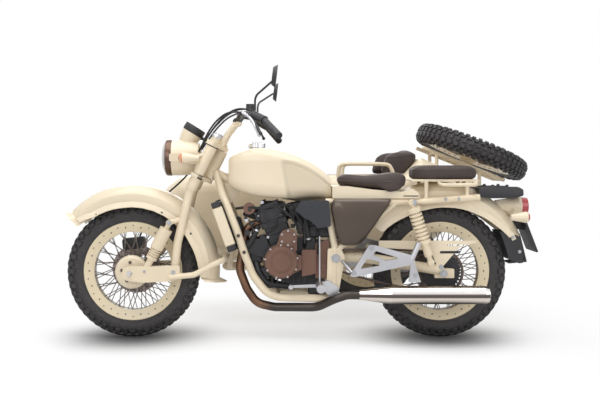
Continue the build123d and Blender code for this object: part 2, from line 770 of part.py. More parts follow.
def pillion_frame():
    under = pillion_base_z - 10
    base = side_plate([(606, under), (614, pillion_base_z), (930, pillion_base_z), (944, under)], -118, 118,
                      3)
    pieces = [base]
    for side in (-1, 1):
        handle = [(741, 106, under - 6), (741, 176, under - 16), (914, 176, under - 16),
                  (914, 106, under - 6)]
        pieces.append(tube([(x, side * y, z) for x, y, z in handle], 18, 24))
        for x in (680, 880):
            y = side * cradle_spacing / 2
            pieces.append(rod((x, y, rail_z + (x - 660) * 22 / 280), (x, y, under + 4),
                              20).cut(*frame_tubes(seat_gap)))
    return fuse(*pieces)


def side_cover(side):
    outline = [(218, 640), (230, 688), (506, 688), (470, 640), (365, 490), (340, 472), (262, 472), (244, 500)]
    face = cradle_spacing / 2 + rail_tube / 2 + seat_gap
    low, high = sorted((side * face, side * 172))
    shell = side_plate(outline, low, high, 14)
    return fillet(shell.faces().sort_by(Axis.Y)[0 if side < 0 else -1].edges(), 10)


engine_lean = 20.0        # degrees, the cylinder leans forward
engine_foot = Vector(-10, 0, 440)
crank_x, crank_z = -25.0, 390.0
crank_half = 128.0
case_half = 84.0
lean_up = Vector(-sin(radians(engine_lean)), 0, cos(radians(engine_lean)))
lean_back = Vector(cos(radians(engine_lean)), 0, sin(radians(engine_lean)))


def leaning(height, long, wide, thick, corner):
    # A block square to the cylinder, standing at a height along it.
    plane = Plane(origin=engine_foot + lean_up * height, x_dir=lean_back, z_dir=lean_up)
    return extrude(plane * RectangleRounded(long, wide, corner), thick)


def on_engine(back, across, up):
    return engine_foot + lean_back * back + Vector(0, across, 0) + lean_up * up


def engine_block():
    crank = rod((crank_x, -crank_half, crank_z), (crank_x, crank_half - 8, crank_z), 176)
    case = side_plate([(-20, 300), (-30, 470), (60, 500), (205, 470), (205, 310), (120, 262), (-30, 262)],
                      -case_half, case_half, 10)
    pieces = [crank, case]
    # The cylinder's bands and the head, columns: height, long, wide, thick, corner
    stack = [(0, 116, 190, 46, 14), (44, 104, 178, 8, 12), (50, 118, 192, 36, 14), (84, 104, 178, 8, 12),
             (90, 118, 192, 38, 14), (128, 136, 206, 30, 16), (156, 124, 196, 8, 12), (162, 132, 206, 50, 16),
             (210, 104, 196, 30, 12)]
    pieces += [leaning(*row) for row in stack]
    # Bosses, caps and pipes that stand off the block, columns: from, to, diameter
    for start, end, diameter in [
        (on_engine(0, -114, 182), on_engine(0, -96, 182), 62), (on_engine(0, -122, 182),
                                                                on_engine(0, -96, 182), 40),
        (on_engine(-46, -112, 142), on_engine(-46, -90, 142), 22),
        (on_engine(46, -112, 142), on_engine(46, -90, 142), 22),
        (on_engine(-50, -110, 20), on_engine(-50, -84, 20), 24), (on_engine(48, -110, 64),
                                                                  on_engine(48, -84, 64), 24),
        (on_engine(60, -40, 172), (104, -40, 600), 56), (on_engine(60, 40, 172), (104, 40, 600), 56),
        (on_engine(-20, -60, 236), on_engine(-20, -60, 262), 26),
        (on_engine(-20, 60, 236), on_engine(-20, 60, 262), 26),
        ((-150, -60, 606), (-183, -60, 643), 20),
        ((-70, -40, 286), (-70, -40, 250), 60), ((-60, 84, 320), (-92, 84, 284), 66),
    ]:
        pieces.append(rod(start, end, diameter))
    pieces.append(tube([(89, -70, 450), (89, -100, 474), (89, -100, 552), (52, -84, 612)], 20, 30))
    pieces.append(tube([(-150, -60, 376), (-140, -86, 340), (-98, -86, 277), (16, -70, 262), (60, -60, 280)],
                       36, 60))
    # Mounting plates, flat against the insides of the cradle's tubes.
    face = cradle_spacing / 2 - frame_tube / 2 - seat_gap
    for side in (-1, 1):
        near, far = sorted((side * (face - 12), side * face))
        pieces.append(side_plate([(-232, 446), (-226, 480), (-100, 500), (-60, 400), (-110, 400)], near, far,
                                 6))
        pieces.append(side_plate([(110, 200), (176, 200), (176, 300), (110, 300)], near, far, 6))
    return join(pieces)


def engine_covers():
    # The crank's cover in steps with bolt bosses, the upper cover, the drive cover with its grooves, the
    # right cover.
    y = -crank_half - seat_gap
    centre = Vector(crank_x, y, crank_z)
    out = Vector(0, -1, 0)
    steps = [(164, 22), (148, 34), (100, 40), (84, 44)]     # diameter, how far out
    main = [rod(centre, centre + out * far, diameter) for diameter, far in steps]
    for number in range(9):
        angle = radians(40 * number + 12)
        boss = centre + Vector(cos(angle), 0, sin(angle)) * 79
        main.append(rod(boss, boss + out * 30, 15))
    main += [rod((7, y, 503), (7, y - 22, 503), 86), rod((7, y, 503), (7, y - 27, 503), 56),
             side_plate([(-60, 440), (-36, 500), (7, 546), (50, 500), (50, 440)], y - 16, y, 8),
             side_plate([(30, 330), (40, 420), (72, 420), (72, 350)], y - 16, y, 6)]
    y = -case_half - seat_gap
    drive = fuse(side_plate([(74, 315), (74, 444), (142, 444), (142, 330)], y - 50, y, 6),
                 side_plate([(140, 302), (140, 474), (209, 493), (209, 302)], y - 16, y, 6))
    grooves = [box((148, y - 30, z), (212, y - 13, z + 5)) for z in (330, 348, 366, 384, 402, 420, 438)]
    right = crank_half - 8 + seat_gap
    far = fuse(rod((crank_x, right, crank_z), (crank_x, right + 30, crank_z), 164),
               rod((crank_x, right, crank_z), (crank_x, right + 38, crank_z), 110))
    cap = rod((-183, -60 - 10 - seat_gap, 643), (-183, -88, 643), 58)
    return [join(main), drive.cut(*grooves), far, cap]


def air_cover():
    face = -(cradle_spacing + upright_tube) / 2 - seat_gap
    return side_plate([(41, 640), (70, 684), (204, 684), (214, 560), (150, 552), (110, 590), (84, 600)],
                      face - 34, face, 8)


def radiator():
    top, bottom = Vector(-345, 0, 668), Vector(-265, 0, 447)
    down = (bottom - top).normalized()
    across = Vector(down.Z, 0, -down.X)
    middle = (top + bottom) * 0.5
    plane = Plane(origin=middle - across * 21, x_dir=(0, 1, 0), z_dir=across)
    return extrude(plane * RectangleRounded(260, (bottom - top).length, 12), 41)


def exhaust_header():
    # Out of the head's front, down inside the cradle, back under the engine and out to the silencer.
    start = on_engine(-68 - seat_gap, -45, 165)
    points = [start, start - lean_back * 70, (-232, -66, 345), (-195, -74, 250), (-146, -80, 178),
              (-60, -84, 160), (150, -110, 163), (230, -silencer_y, 215),
              (290, -silencer_y, silencer_z), (347 - seat_gap, -silencer_y, silencer_z)]
    return tube(points, 42, 90)


silencer_y, silencer_z = 182.0, 234.0


def silencer():
    y, z = -silencer_y, silencer_z
    profile = [(0, 347), (23, 347), (30, 400), (silencer_diameter / 2, 499), (silencer_diameter / 2, 944),
               (silencer_diameter / 2 - 6, 966), (20, 973), (0, 973)]
    face = Plane(origin=(0, y, z), x_dir=(0, 0, 1), z_dir=(0, 1, 0)) * Polygon(*profile, align=None)
    return revolve(face, Axis((0, y, z), (1, 0, 0)))


def build_motorcycle():
    keep("main_frame", main_frame())
    keep("fuel_tank", fuel_tank())
    keep("filler_cap", filler_cap())
    keep("rider_seat", rider_seat())
    keep("pillion_seat", pillion_seat())
    keep("seat_cowl", seat_cowl())
    keep("pillion_frame", pillion_frame())
    keep("side_covers", Compound(children=[side_cover(-1), side_cover(1)]))
    keep("engine_block", engine_block())
    keep("engine_covers", Compound(children=engine_covers()))
    keep("air_cover", air_cover())
    keep("radiator", radiator())
    keep("exhaust_header", exhaust_header())
    keep("silencer", silencer())


# Rear of the motorcycle


def swingarm_side(side, extra=0.0):
    y = side * swingarm_spacing / 2
    return tube([pivot_bolt + Vector(0, side * 64, 0), (350, side * 64, 402), (450, y, 394), (760, y, 340)],
                swingarm_tube + 2 * extra, 120)


def swingarm():
    pieces = []
    half = swingarm_spacing / 2
    for side in (-1, 1):
        y = side * half
        pieces.append(swingarm_side(side))
        near, far = sorted((y - side * 14, y + side * 14))
        pieces.append(side_plate([(720, 306), (720, 356), (815, 350), (815, 306)], near, far, 4))
        # The shock's lower mount stands outboard of the arm.
        inner = shock_y - 13 - seat_gap
        pieces.append(tube([(692, y, 358), (692, side * (inner - 20), 390), (692, side * inner, 390)], 24,
                           14))
        pieces.append(rod((692, side * (inner - 1), 390), (692, side * (shock_y + 20), 390), 12))
    pieces.append(rod(pivot_bolt - Vector(0, 92, 0), pivot_bolt + Vector(0, 92, 0), 44))
    pieces.append(rod((366, -66, 402), (366, 66, 402), 44))
    pieces.append(rod(rear_axle - Vector(0, half + 26, 0), rear_axle + Vector(0, half + 26, 0),
                      axle_diameter))
    bolt = rod(pivot_bolt - Vector(0, 200, 0), pivot_bolt + Vector(0, 200, 0), 20 + 2 * seat_gap)
    return fuse(*pieces).cut(bolt)


def rear_shock(side):
    upper, lower = Vector(600, side * shock_y, 675), Vector(692, side * shock_y, 390)
    length = (lower - upper).length
    stack = [(0, 26, 12), (26, 50, 33), *coil_stack(50, length - 100, 8, 31.5, 22),
             (length - 100, length - 92, 31),
             (length - 92, length - 30, 20), (length - 30, length, 13)]
    return shock(upper, lower, stack, 32, 32, 26, 12 + 2 * seat_gap)


def rear_fender():
    section = fender_section(fender_crown - 62, fender_shoulder, fender_crown, fender_half, fender_wall)
    return at(rear_axle, arc_shell(section, 24, 138))


tail_z = axle_height + 320.0
# just behind the fender there
tail_x = rear_axle.X + sqrt(fender_crown ** 2 - (tail_z - axle_height) ** 2) + 8
lens_length = 42.0


def tail_lamps():
    # A cone housing on the fender, and an indicator on a stalk each side.
    lens = tail_x + 90
    made = [cone((tail_x - 30, 0, tail_z), (lens, 0, tail_z), 62, 96),
            rod((lens, 0, tail_z), (lens + 4, 0, tail_z), 98)]
    for side in (-1, 1):
        y, z = side * 120, tail_z - 48
        made.append(fuse(cone((lens, y, z), (lens - 73, y, z), 56, 30),
                         cone((lens, y, z), (lens + 6, y, z), 56, 52),
                         rod((lens - 43, y, z), (lens - 43, side * 30, tail_z - 14), 14)))
    return fuse(*made).cut(fender_room())


def lamp_lenses():
    lens, edge = tail_x + 94 + seat_gap, tail_x + 96 + seat_gap
    made = [cone((lens, 0, tail_z), (lens + lens_length - 10, 0, tail_z), 92, 86)]
    made[0] = made[0].fuse(cone((lens + lens_length - 10, 0, tail_z), (lens + lens_length - 4, 0, tail_z),
                                86, 60))
    for side in (-1, 1):
        made.append(cone((edge, side * 120, tail_z - 48), (edge + 9, side * 120, tail_z - 48), 50, 36))
    return Compound(children=made)


def tail_point(x, z):
    return (tail_x + x, tail_z + z)


def rear_flap():
    # The plate's holder, and a rubber flap that hangs from under the fender's end.
    holder = side_plate([tail_point(93, -70), tail_point(101, -67), tail_point(159, -218),
                         tail_point(151, -222)], -90, 90)
    arm = [tail_point(47, -110), tail_point(47, -70), tail_point(99, -70), tail_point(122, -120)]
    arm = side_plate(arm, -12, 12, 4).cut(fender_room())
    under = fender_crown - fender_wall - seat_gap
    top = rear_axle + Vector(under * cos(radians(24.6)), 0, under * sin(radians(24.6)))
    flap = side_plate([(top.X - 12, top.Z + 6), (top.X - 3, top.Z + 1), tail_point(117, -274),
                       tail_point(27, -282),
                       tail_point(21, -274), tail_point(105, -266)], -44, 44)
    room = fender_section(fender_crown - 64, fender_shoulder, fender_crown + seat_gap, fender_half + seat_gap,
                          fender_wall + 2 * seat_gap)
    return Compound(children=[fuse(holder, arm), flap.cut(at(rear_axle, arc_shell(room, 23, 60)))])


rack_top = fender_top - 26
rack_x = rear_axle.X + fender_crown - 152
rack_holes = (110.0, 140.0, 8.5)   # spacing along, spacing across, diameter


def luggage_rack():
    # A moulded tray with a flat, slotted deck and four bolt holes, on posts from the fender's crown.
    outline = [(-92, -17), (-92, -6), (-74, 0), (74, 0), (106, -14), (106, -42), (70, -34), (-40, -34)]
    tray = side_plate([(rack_x + x, rack_top + z) for x, z in outline], -104, 104)
    tray = fillet(tray.edges().filter_by(Axis.Z), 16)
    well = box((rack_x - 82, -92, rack_top - 100), (rack_x + 92, 92, rack_top - 9))
    slots = [box((rack_x - 40, y - 9, rack_top - 40), (rack_x + 40, y + 9, rack_top + 40))
             for y in (-38, 0, 38)]
    along, across, hole = rack_holes
    corners = [(rack_x + i * along / 2, j * across / 2) for i in (-1, 1) for j in (-1, 1)]
    holes = [rod((x, y, rack_top - 40), (x, y, rack_top + 40), hole) for x, y in corners]
    made = [tray.cut(well, *slots, *holes)]
    for x in (rack_x - 70, rack_x - 40):
        for y in (-19, 19):
            made.append(rod((x, y, rack_top - 8), (x, y, rack_top - 246), 14).cut(fender_room()))
    return fuse(*made)


def peg_truss(side):
    # A silver forging that carries the folded pillion peg and, on the left, the silencer.
    y = side * 196
    low, high = sorted((y - side * 8, y + side * 8))
    outer = side_plate([(300, 326), (392, 474), (420, 474), (600, 424), (612, 396), (590, 380), (322, 322)],
                       low, high, 6)
    windows = [side_plate([(350, 360), (382, 410), (440, 396), (440, 376)], low - 1, high + 1, 4),
               side_plate([(424, 446), (412, 428), (470, 400), (540, 412)], low - 1, high + 1, 4)]
    hanger = side_plate([(590, 392), (604, 404), (640, 297), (582, 297)], low, high, 4)
    peg = rod((596, y, 404), (630, y + side * 6, 486), 26)
    face = cradle_spacing / 2 + 13 + seat_gap
    pins = [rod((405, side * (face + 1), 462), (405, y, 462), 18),
            rod((270, side * face, 390), (312, y, 341), 18)]
    pins = [pin.cut(box((0, -face, 0), (800, face, 900))) for pin in pins]
    return fuse(outer.cut(*windows), hanger, peg, *pins)


peg_x, peg_z, peg_diameter = 159.0, 277.0, 40.0


def footrests():
    made = []
    for side in (-1, 1):
        y = side * (cradle_spacing / 2 + upright_tube / 2 + seat_gap)
        low, high = sorted((y, y + side * 14))
        plate = side_plate([(177, 252), (186, 296), (206, 296), (254, 262), (250, 226), (206, 224)], low,
                           high, 6)
        made.append(fuse(plate, rod((peg_x, side * 132, peg_z), (peg_x, side * 290, peg_z), peg_diameter),
                         side_plate([(150, 262), (150, 292), (200, 292), (200, 262)], low, high, 4)))
    return Compound(children=made)


def gear_lever():
    y = -150
    lever = fuse(side_plate([(14, 264), (14, 276), (148, 282), (148, 266)], y - 8, y, 3),
                 rod((20, y - 34, 270), (20, y, 270), 22))
    peg = rod((peg_x, y - 60, peg_z), (peg_x, y + 60, peg_z), peg_diameter + 2 * seat_gap)
    link = rod((peg_x, y - 4, peg_z), (peg_x, y - 4, 512), 8)
    return Compound(children=[lever.cut(peg), link.cut(peg)])


def arm_top(x):
    # The height of the swingarm's top, where it slopes to the axle.
    slope = (394 - 340) / (760 - 450)
    return 340 + (760 - x) * slope + swingarm_tube / 2 * sqrt(1 + slope * slope) + seat_gap


def chain_guard():
    y = -swingarm_spacing / 2
    foot = [(765, arm_top(765)), (730, arm_top(730))]
    plate = side_plate([(449, 452), (449, 487), (925, 487), (925, 478), (840, 452), *foot, (700, 440)],
                       y - 4, y)
    slot = side_plate([(780, 462), (784, 468), (880, 468), (870, 460)], y - 5, y + 1)
    return plate.cut(slot)


chain_pitch = 15.875
chain_height = 11.0
chain_y = -(hub_width / 2 + seat_gap + 4)
drive_centre = Vector(172, 0, 402)
drive_radius = 38.0


def chain_path():
    # Round the rear sprocket and forward to the engine, with a slack lower run.
    outer = sprocket_diameter / 2 + chain_gap + chain_height / 2
    rear = Vector(rear_axle.X, 0, rear_axle.Z)
    top_start = drive_centre + Vector(0, 0, drive_radius)
    top_end = rear + Vector(2, 0, outer)
    low_end = rear + Vector(-26, 0, -sqrt(outer ** 2 - 26 ** 2))
    sag = Vector(430, 0, 286)
    low_start = drive_centre + Vector(0, 0, -drive_radius)
    edges = [Edge.make_line(top_start, top_end),
             Edge.make_three_point_arc(top_end, rear + Vector(outer, 0, 0), low_end),
             Edge.make_three_point_arc(low_end, sag, low_start)]
    return Wire(edges)


def drive_chain():
    # Link plates, wide and narrow by turns, along the path; its front end is hidden in the engine's case.
    path = chain_path()
    links = int(path.length / chain_pitch)
    plates = []
    for number in range(links):
        place, along = path.position_at(number / links), path.tangent_at(number / links)
        width = 15 if number % 2 else 9
        plane = Plane(origin=place + Vector(0, chain_y, 0), x_dir=along, z_dir=(0, 1, 0))
        length = chain_pitch * 0.92 if number % 2 else chain_pitch * 1.2
        plates.append(plane * Box(length, chain_height, width))
    whole = plates[0].fuse(*plates[1:])
    return whole.cut(box((0, -200, 0), (205 + seat_gap, 200, 900)))


def rear_caliper():
    mounted = caliper(rear_axle, 1, 118, (706, 436), (684, 374), swingarm_spacing / 2 - 8)
    return mounted.cut(swingarm_side(1, seat_gap))


def build_rear():
    keep("swingarm", swingarm())
    keep("rear_shocks", pair(rear_shock))
    keep("rear_fender", rear_fender())
    keep("tail_lamps", tail_lamps())
    keep("tail_lenses", lamp_lenses())
    keep("rear_flap", rear_flap())
    keep("luggage_rack", luggage_rack())
    keep("peg_trusses", pair(peg_truss))
    keep("footrests", footrests())
    keep("gear_lever", gear_lever())
    keep("chain_guard", chain_guard())
    keep("drive_chain", drive_chain())


# Sidecar

tub_half = tub_width / 2
tub_floor = 325.0
# columns: x, half width, bottom, top, corner round
tub_sections = [
    (-748, 70, 560, 640, 30), (-728, 132, 530, 668, 46), (-690, 186, 498, 702, 60), (-636, 224, 458, 750, 78),
    (-580, 248, 425, 792, 92), (-500, 268, 388, 803, 96), (-352, 286, 345, 806, 92),
    (-150, tub_half, tub_floor, 802, 78), (300, tub_half, tub_floor, 800, 78),
    (640, tub_half, tub_floor + 5, 805, 78),
    (740, tub_half - 6, 390, 897, 78), (960, 270, 560, 800, 60), (1150, 210, 690, 716, 10),
]
cockpit = (-150, 600)     # from, to


def tub_loft(inset):
    faces = []
    for x, wide, low, high, corner in tub_sections:
        wide, high_in, low_in = wide - inset, high - inset, low + inset
        if high_in - low_in < 20:
            continue
        plane = Plane(origin=(x, tub_centre, (low_in + high_in) / 2), x_dir=(0, 1, 0), z_dir=(1, 0, 0))
        faces.append(plane * RectangleRounded(2 * wide, high_in - low_in, max(corner - inset, 5)))
    return loft(faces, ruled=True)


def sidecar_tub():
    outer = tub_loft(0)
    x0, x1 = cockpit
    hollow = tub_loft(tub_wall * 2) & box((-560, 0, 0), (940, 2000, 2000))
    opening = box((x0, tub_centre - tub_half + 60, 560), (x1, tub_centre + tub_half - 60, 1000))
    plinth = box((130, tub_centre - 180, tub_floor + tub_wall), (490, tub_centre + 180, 400 - seat_gap))
    return fuse(outer.cut(hollow).cut(opening), plinth)


def sidecar_seat():
    base = fillet(box((110, tub_centre - 190, 400), (500, tub_centre + 190, 520)).edges(), 30)
    back = side_plate([(474, 440), (540, 440), (590, 780), (530, 780)], tub_centre - 190, tub_centre + 190,
                      20)
    return fuse(base, back)


def sidecar_backrest():
    # A padded roll that wraps round the back of the cockpit.
    # columns: x, offset from the tub's middle
    arc = [(514, 262), (620, 268), (700, 230), (738, 150), (738, -150), (700, -230), (620, -268), (514, -262),
           (514, -196), (600, -190), (630, -160), (630, 160), (600, 190), (514, 196)]
    face = Plane.XY.offset(780) * Polygon(*[(x, tub_centre + y) for x, y in arc], align=None)
    roll = extrude(face, 930 - 780, dir=(0, 0, 1))
    return roll.cut(tub_loft(-seat_gap))


def grab_rail(side):
    y = tub_centre + side * (tub_half - 40)
    hoop = tube([(285, y, 780), (285, y, 861), (498, y, 861), (498, y, 780)], 22, 34)
    return hoop.cut(tub_loft(-seat_gap))


spare_centre = Vector(1070, tub_centre + 10, 930)
spare_along = Vector(cos(radians(spare_tilt)), 0, -sin(radians(spare_tilt)))
spare_up = Vector(sin(radians(spare_tilt)), 0, cos(radians(spare_tilt)))
carrier_drop = 88.0       # from the spare's middle plane to the carrier's tubes
carrier_spacing = 220.0


def carrier_point(along, y):
    return spare_centre - spare_up * carrier_drop + spare_along * along + Vector(0, y, 0)


def spare_carrier():
    half = carrier_spacing / 2
    made = []
    for y in (-half, half):
        made.append(rod(carrier_point(-285, y), carrier_point(212, y), 20))
        for along in (-200, 60):
            top = carrier_point(along, y)
            made.append(rod((top.X, top.Y, top.Z - 140), top, 20))
    for along in (-200, 0, 60, 205):
        made.append(rod(carrier_point(along, -half), carrier_point(along, half), 18))
    hub_face = spare_centre - spare_up * (hub_width / 2 + seat_gap)
    made.append(rod(carrier_point(0, 0), hub_face, 60))
    return fuse(*made).cut(tub_loft(-seat_gap))


side_fender_half = 92.0


def sidecar_fender():
    crown = tyre_radius + 100
    section = fender_section(crown - 90, crown - 44, crown, side_fender_half, fender_wall)
    front = flare(164, 16, section, fender_section(crown - 86, crown - 30, crown + 14, side_fender_half + 8,
                                                   fender_wall))
    rear = flare(16, -16, section, fender_section(crown - 86, crown - 30, crown + 14, side_fender_half + 8,
                                                  fender_wall))
    return at(side_axle, fuse(arc_shell(section, 16, 164), front, rear))


chassis_z = tub_floor - seat_gap - chassis_tube / 2
rail_reach = 220.0        # from the tub's middle to the chassis rails


def wheel_arm(extra=0.0):
    far = tub_centre + rail_reach
    return tube([(120, far, chassis_z), (120, wheel_arm_y, chassis_z + 4),
                 (300, wheel_arm_y, axle_height - 14),
                 (side_axle.X, wheel_arm_y, axle_height)], 40 + 2 * extra, 60)


def sidecar_chassis():
    # A tube frame under the tub, four struts to the motorcycle, the wheel's arm and the fender's stays.
    z = chassis_z
    near, far = tub_centre - rail_reach, tub_centre + rail_reach
    half = cradle_spacing / 2
    made = [tube([(-330, y, z), (820, y, z)], chassis_tube) for y in (near, far)]
    for x in (-330, -100, 300, 760):
        made.append(rod((x, near, z), (x, far, z), chassis_tube - 10))
    # columns: the chassis end, the knee, the frame's tube
    struts = [((-100, near, z), (-100, 300, z), (-60, half, 214)),
              ((232, near, z), (232, 300, z + 4), (232, 210, 330), (232, half + 13 + seat_gap, 330)),
              ((-300, near, z), (-300, 322, z + 10), (-264, half, 592)),
              ((545, near, z), (545, 322, z + 10), (545, half, rail_z))]
    clamped = [tube(points, 28, 50) for points in struts]
    room = frame_tubes(seat_gap)
    made += [strut.cut(*room) for strut in clamped]
    made.append(wheel_arm())
    made.append(rod((side_axle.X, wheel_arm_y - 10, axle_height),
                    (side_axle.X, track + hub_width / 2 + 24, axle_height),
                    axle_diameter))
    stay_y = track - side_fender_half - seat_gap - 9
    for x, rise in ((side_axle.X - 316, 520), (side_axle.X + 280, 580)):
        made.append(tube([(x, far, z), (x, stay_y - 40, z + 30), (x, stay_y, z + 90), (x, stay_y, rise)], 18,
                         50))
    return fuse(*made)


wheel_arm_y = track - tyre_width / 2 - 60


def sidecar_caliper():
    mounted = caliper(side_axle, -1, 92, (side_axle.X - 2, axle_height + 108),
                      (side_axle.X - 42, axle_height - 4),
                      track - wheel_arm_y - 12)
    return mounted.cut(wheel_arm(seat_gap))


def fender_lamps():
    # A marker in front and a lamp behind on the sidecar fender's crown, each on its stem.
    made = []
    for way in (-1, 1):
        x, z = side_axle.X + way * 322, axle_height + 318
        body = cone((x, track, z), (x + way * 46, track, z), 30, 56)
        lens = cone((x + way * 46, track, z), (x + way * 58, track, z), 52, 36)
        stem = rod((x + way * 14, track, z), (x - way * 8, track, z - 70), 14)
        room = fender_solid(tyre_radius + 56, tyre_radius + 100, side_fender_half, seat_gap)
        made.append(fuse(body, lens, stem).cut(at(side_axle, room)))
    return Compound(children=made)


def build_sidecar(wheel, casing):
    keep("sidecar_tub", sidecar_tub())
    keep("sidecar_seat", sidecar_seat())
    keep("sidecar_backrest", sidecar_backrest())
    keep("grab_rails", pair(grab_rail))
    keep("spare_carrier", spare_carrier())
    keep("sidecar_fender", sidecar_fender())
    keep("sidecar_chassis", sidecar_chassis())
    keep("rear_calipers", Compound(children=[rear_caliper(), sidecar_caliper()]))
    keep("sidecar_lamps", fender_lamps())
    place = Pos(*spare_centre) * Rot(0, spare_tilt, 0) * Rot(90, 0, 0)
    keep("spare_wheel", place * wheel)
    keep("spare_tyre", place * casing)


def place_all():
    # The origin goes to the middle of the footprint, on the floor.
    whole = Compound(children=[shape.moved(Location()) for shape in nodes.values()]).bounding_box()
    shift = Vector(-whole.center().X, -whole.center().Y, -whole.min.Z)
    os.makedirs("parts", exist_ok=True)
    for name, shape in nodes.items():
        export_step(Pos(*shift) * shape, f"parts/{name}.step")
    print("origin shift", *[round(value, 4) for value in shift])


plain_wheel, plain_tyre = build_wheels()
build_steering()
build_motorcycle()
build_rear()
build_sidecar(plain_wheel, plain_tyre)
place_all()
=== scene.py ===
import json
import math
import random

import bmesh
import bpy
from mathutils import Matrix, Vector


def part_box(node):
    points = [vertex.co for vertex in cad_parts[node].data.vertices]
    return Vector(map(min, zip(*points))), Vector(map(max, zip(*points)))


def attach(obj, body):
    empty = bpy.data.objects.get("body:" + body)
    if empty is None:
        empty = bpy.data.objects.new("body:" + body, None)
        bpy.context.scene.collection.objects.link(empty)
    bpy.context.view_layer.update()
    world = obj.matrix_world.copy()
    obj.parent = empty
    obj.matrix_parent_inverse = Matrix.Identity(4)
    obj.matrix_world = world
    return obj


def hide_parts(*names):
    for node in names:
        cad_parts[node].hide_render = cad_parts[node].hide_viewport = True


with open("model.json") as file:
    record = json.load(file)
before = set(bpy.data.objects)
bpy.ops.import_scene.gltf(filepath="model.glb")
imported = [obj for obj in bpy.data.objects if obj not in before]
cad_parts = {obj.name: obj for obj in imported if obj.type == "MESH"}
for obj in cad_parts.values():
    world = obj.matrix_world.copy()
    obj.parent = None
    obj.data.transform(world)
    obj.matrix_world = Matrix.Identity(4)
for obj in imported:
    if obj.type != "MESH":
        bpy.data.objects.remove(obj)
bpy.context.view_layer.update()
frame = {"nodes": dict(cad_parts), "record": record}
nodes = frame["nodes"]


def middle(node):
    low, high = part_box(node)
    return (low + high) / 2


# Places are noted in millimetres from the drawing's zero: halfway between the motorcycle's axles, in its own
# plane, on the floor.
frontAxle = middle("front_wheel")
rearAxle = middle("rear_wheel")
drawingZero = Vector(((frontAxle.x + rearAxle.x) / 2, frontAxle.y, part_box("front_tyre")[0].z))
axleX, axleZ, sidecarY = 760, 330, 640
bothSides = (-1, 1)


def place(x, y, z):
    return drawingZero + Vector((x, y, z)) / 1000


def toBlender(colour):
    # From 0 to 255 as a picture has it, to the linear value that a shader takes.
    linear = [c / 255 / 12.92 if c <= 10 else ((c / 255 + 0.055) / 1.055) ** 2.4 for c in colour]
    return (*linear, 1.0)


class Wiring:
    # A node tree being wired: each step adds nodes and leaves the sockets that the next one reads.
    def __init__(self, tree):
        self.tree = tree

    def add(self, kind, **values):
        node = self.tree.nodes.new(kind)
        for key, value in values.items():
            setattr(node, key, value)
        return node

    def link(self, source, target):
        self.tree.links.new(source, target)

    def spread(self, value, low, high, fromLow=0.3, fromHigh=0.7, shape="LINEAR"):
        node = self.add("ShaderNodeMapRange", interpolation_type=shape)
        for name, number in (("From Min", fromLow), ("From Max", fromHigh), ("To Min", low),
                             ("To Max", high)):
            node.inputs[name].default_value = number
        self.link(value, node.inputs["Value"])
        return node.outputs["Result"]

    def maths(self, operation, first, second=None, third=None):
        node = self.add("ShaderNodeMath", operation=operation)
        for socket, value in zip(node.inputs, (first, second, third)):
            if value is None:
                continue
            if isinstance(value, (int, float)):
                socket.default_value = value
            else:
                self.link(value, socket)
        return node.outputs[0]


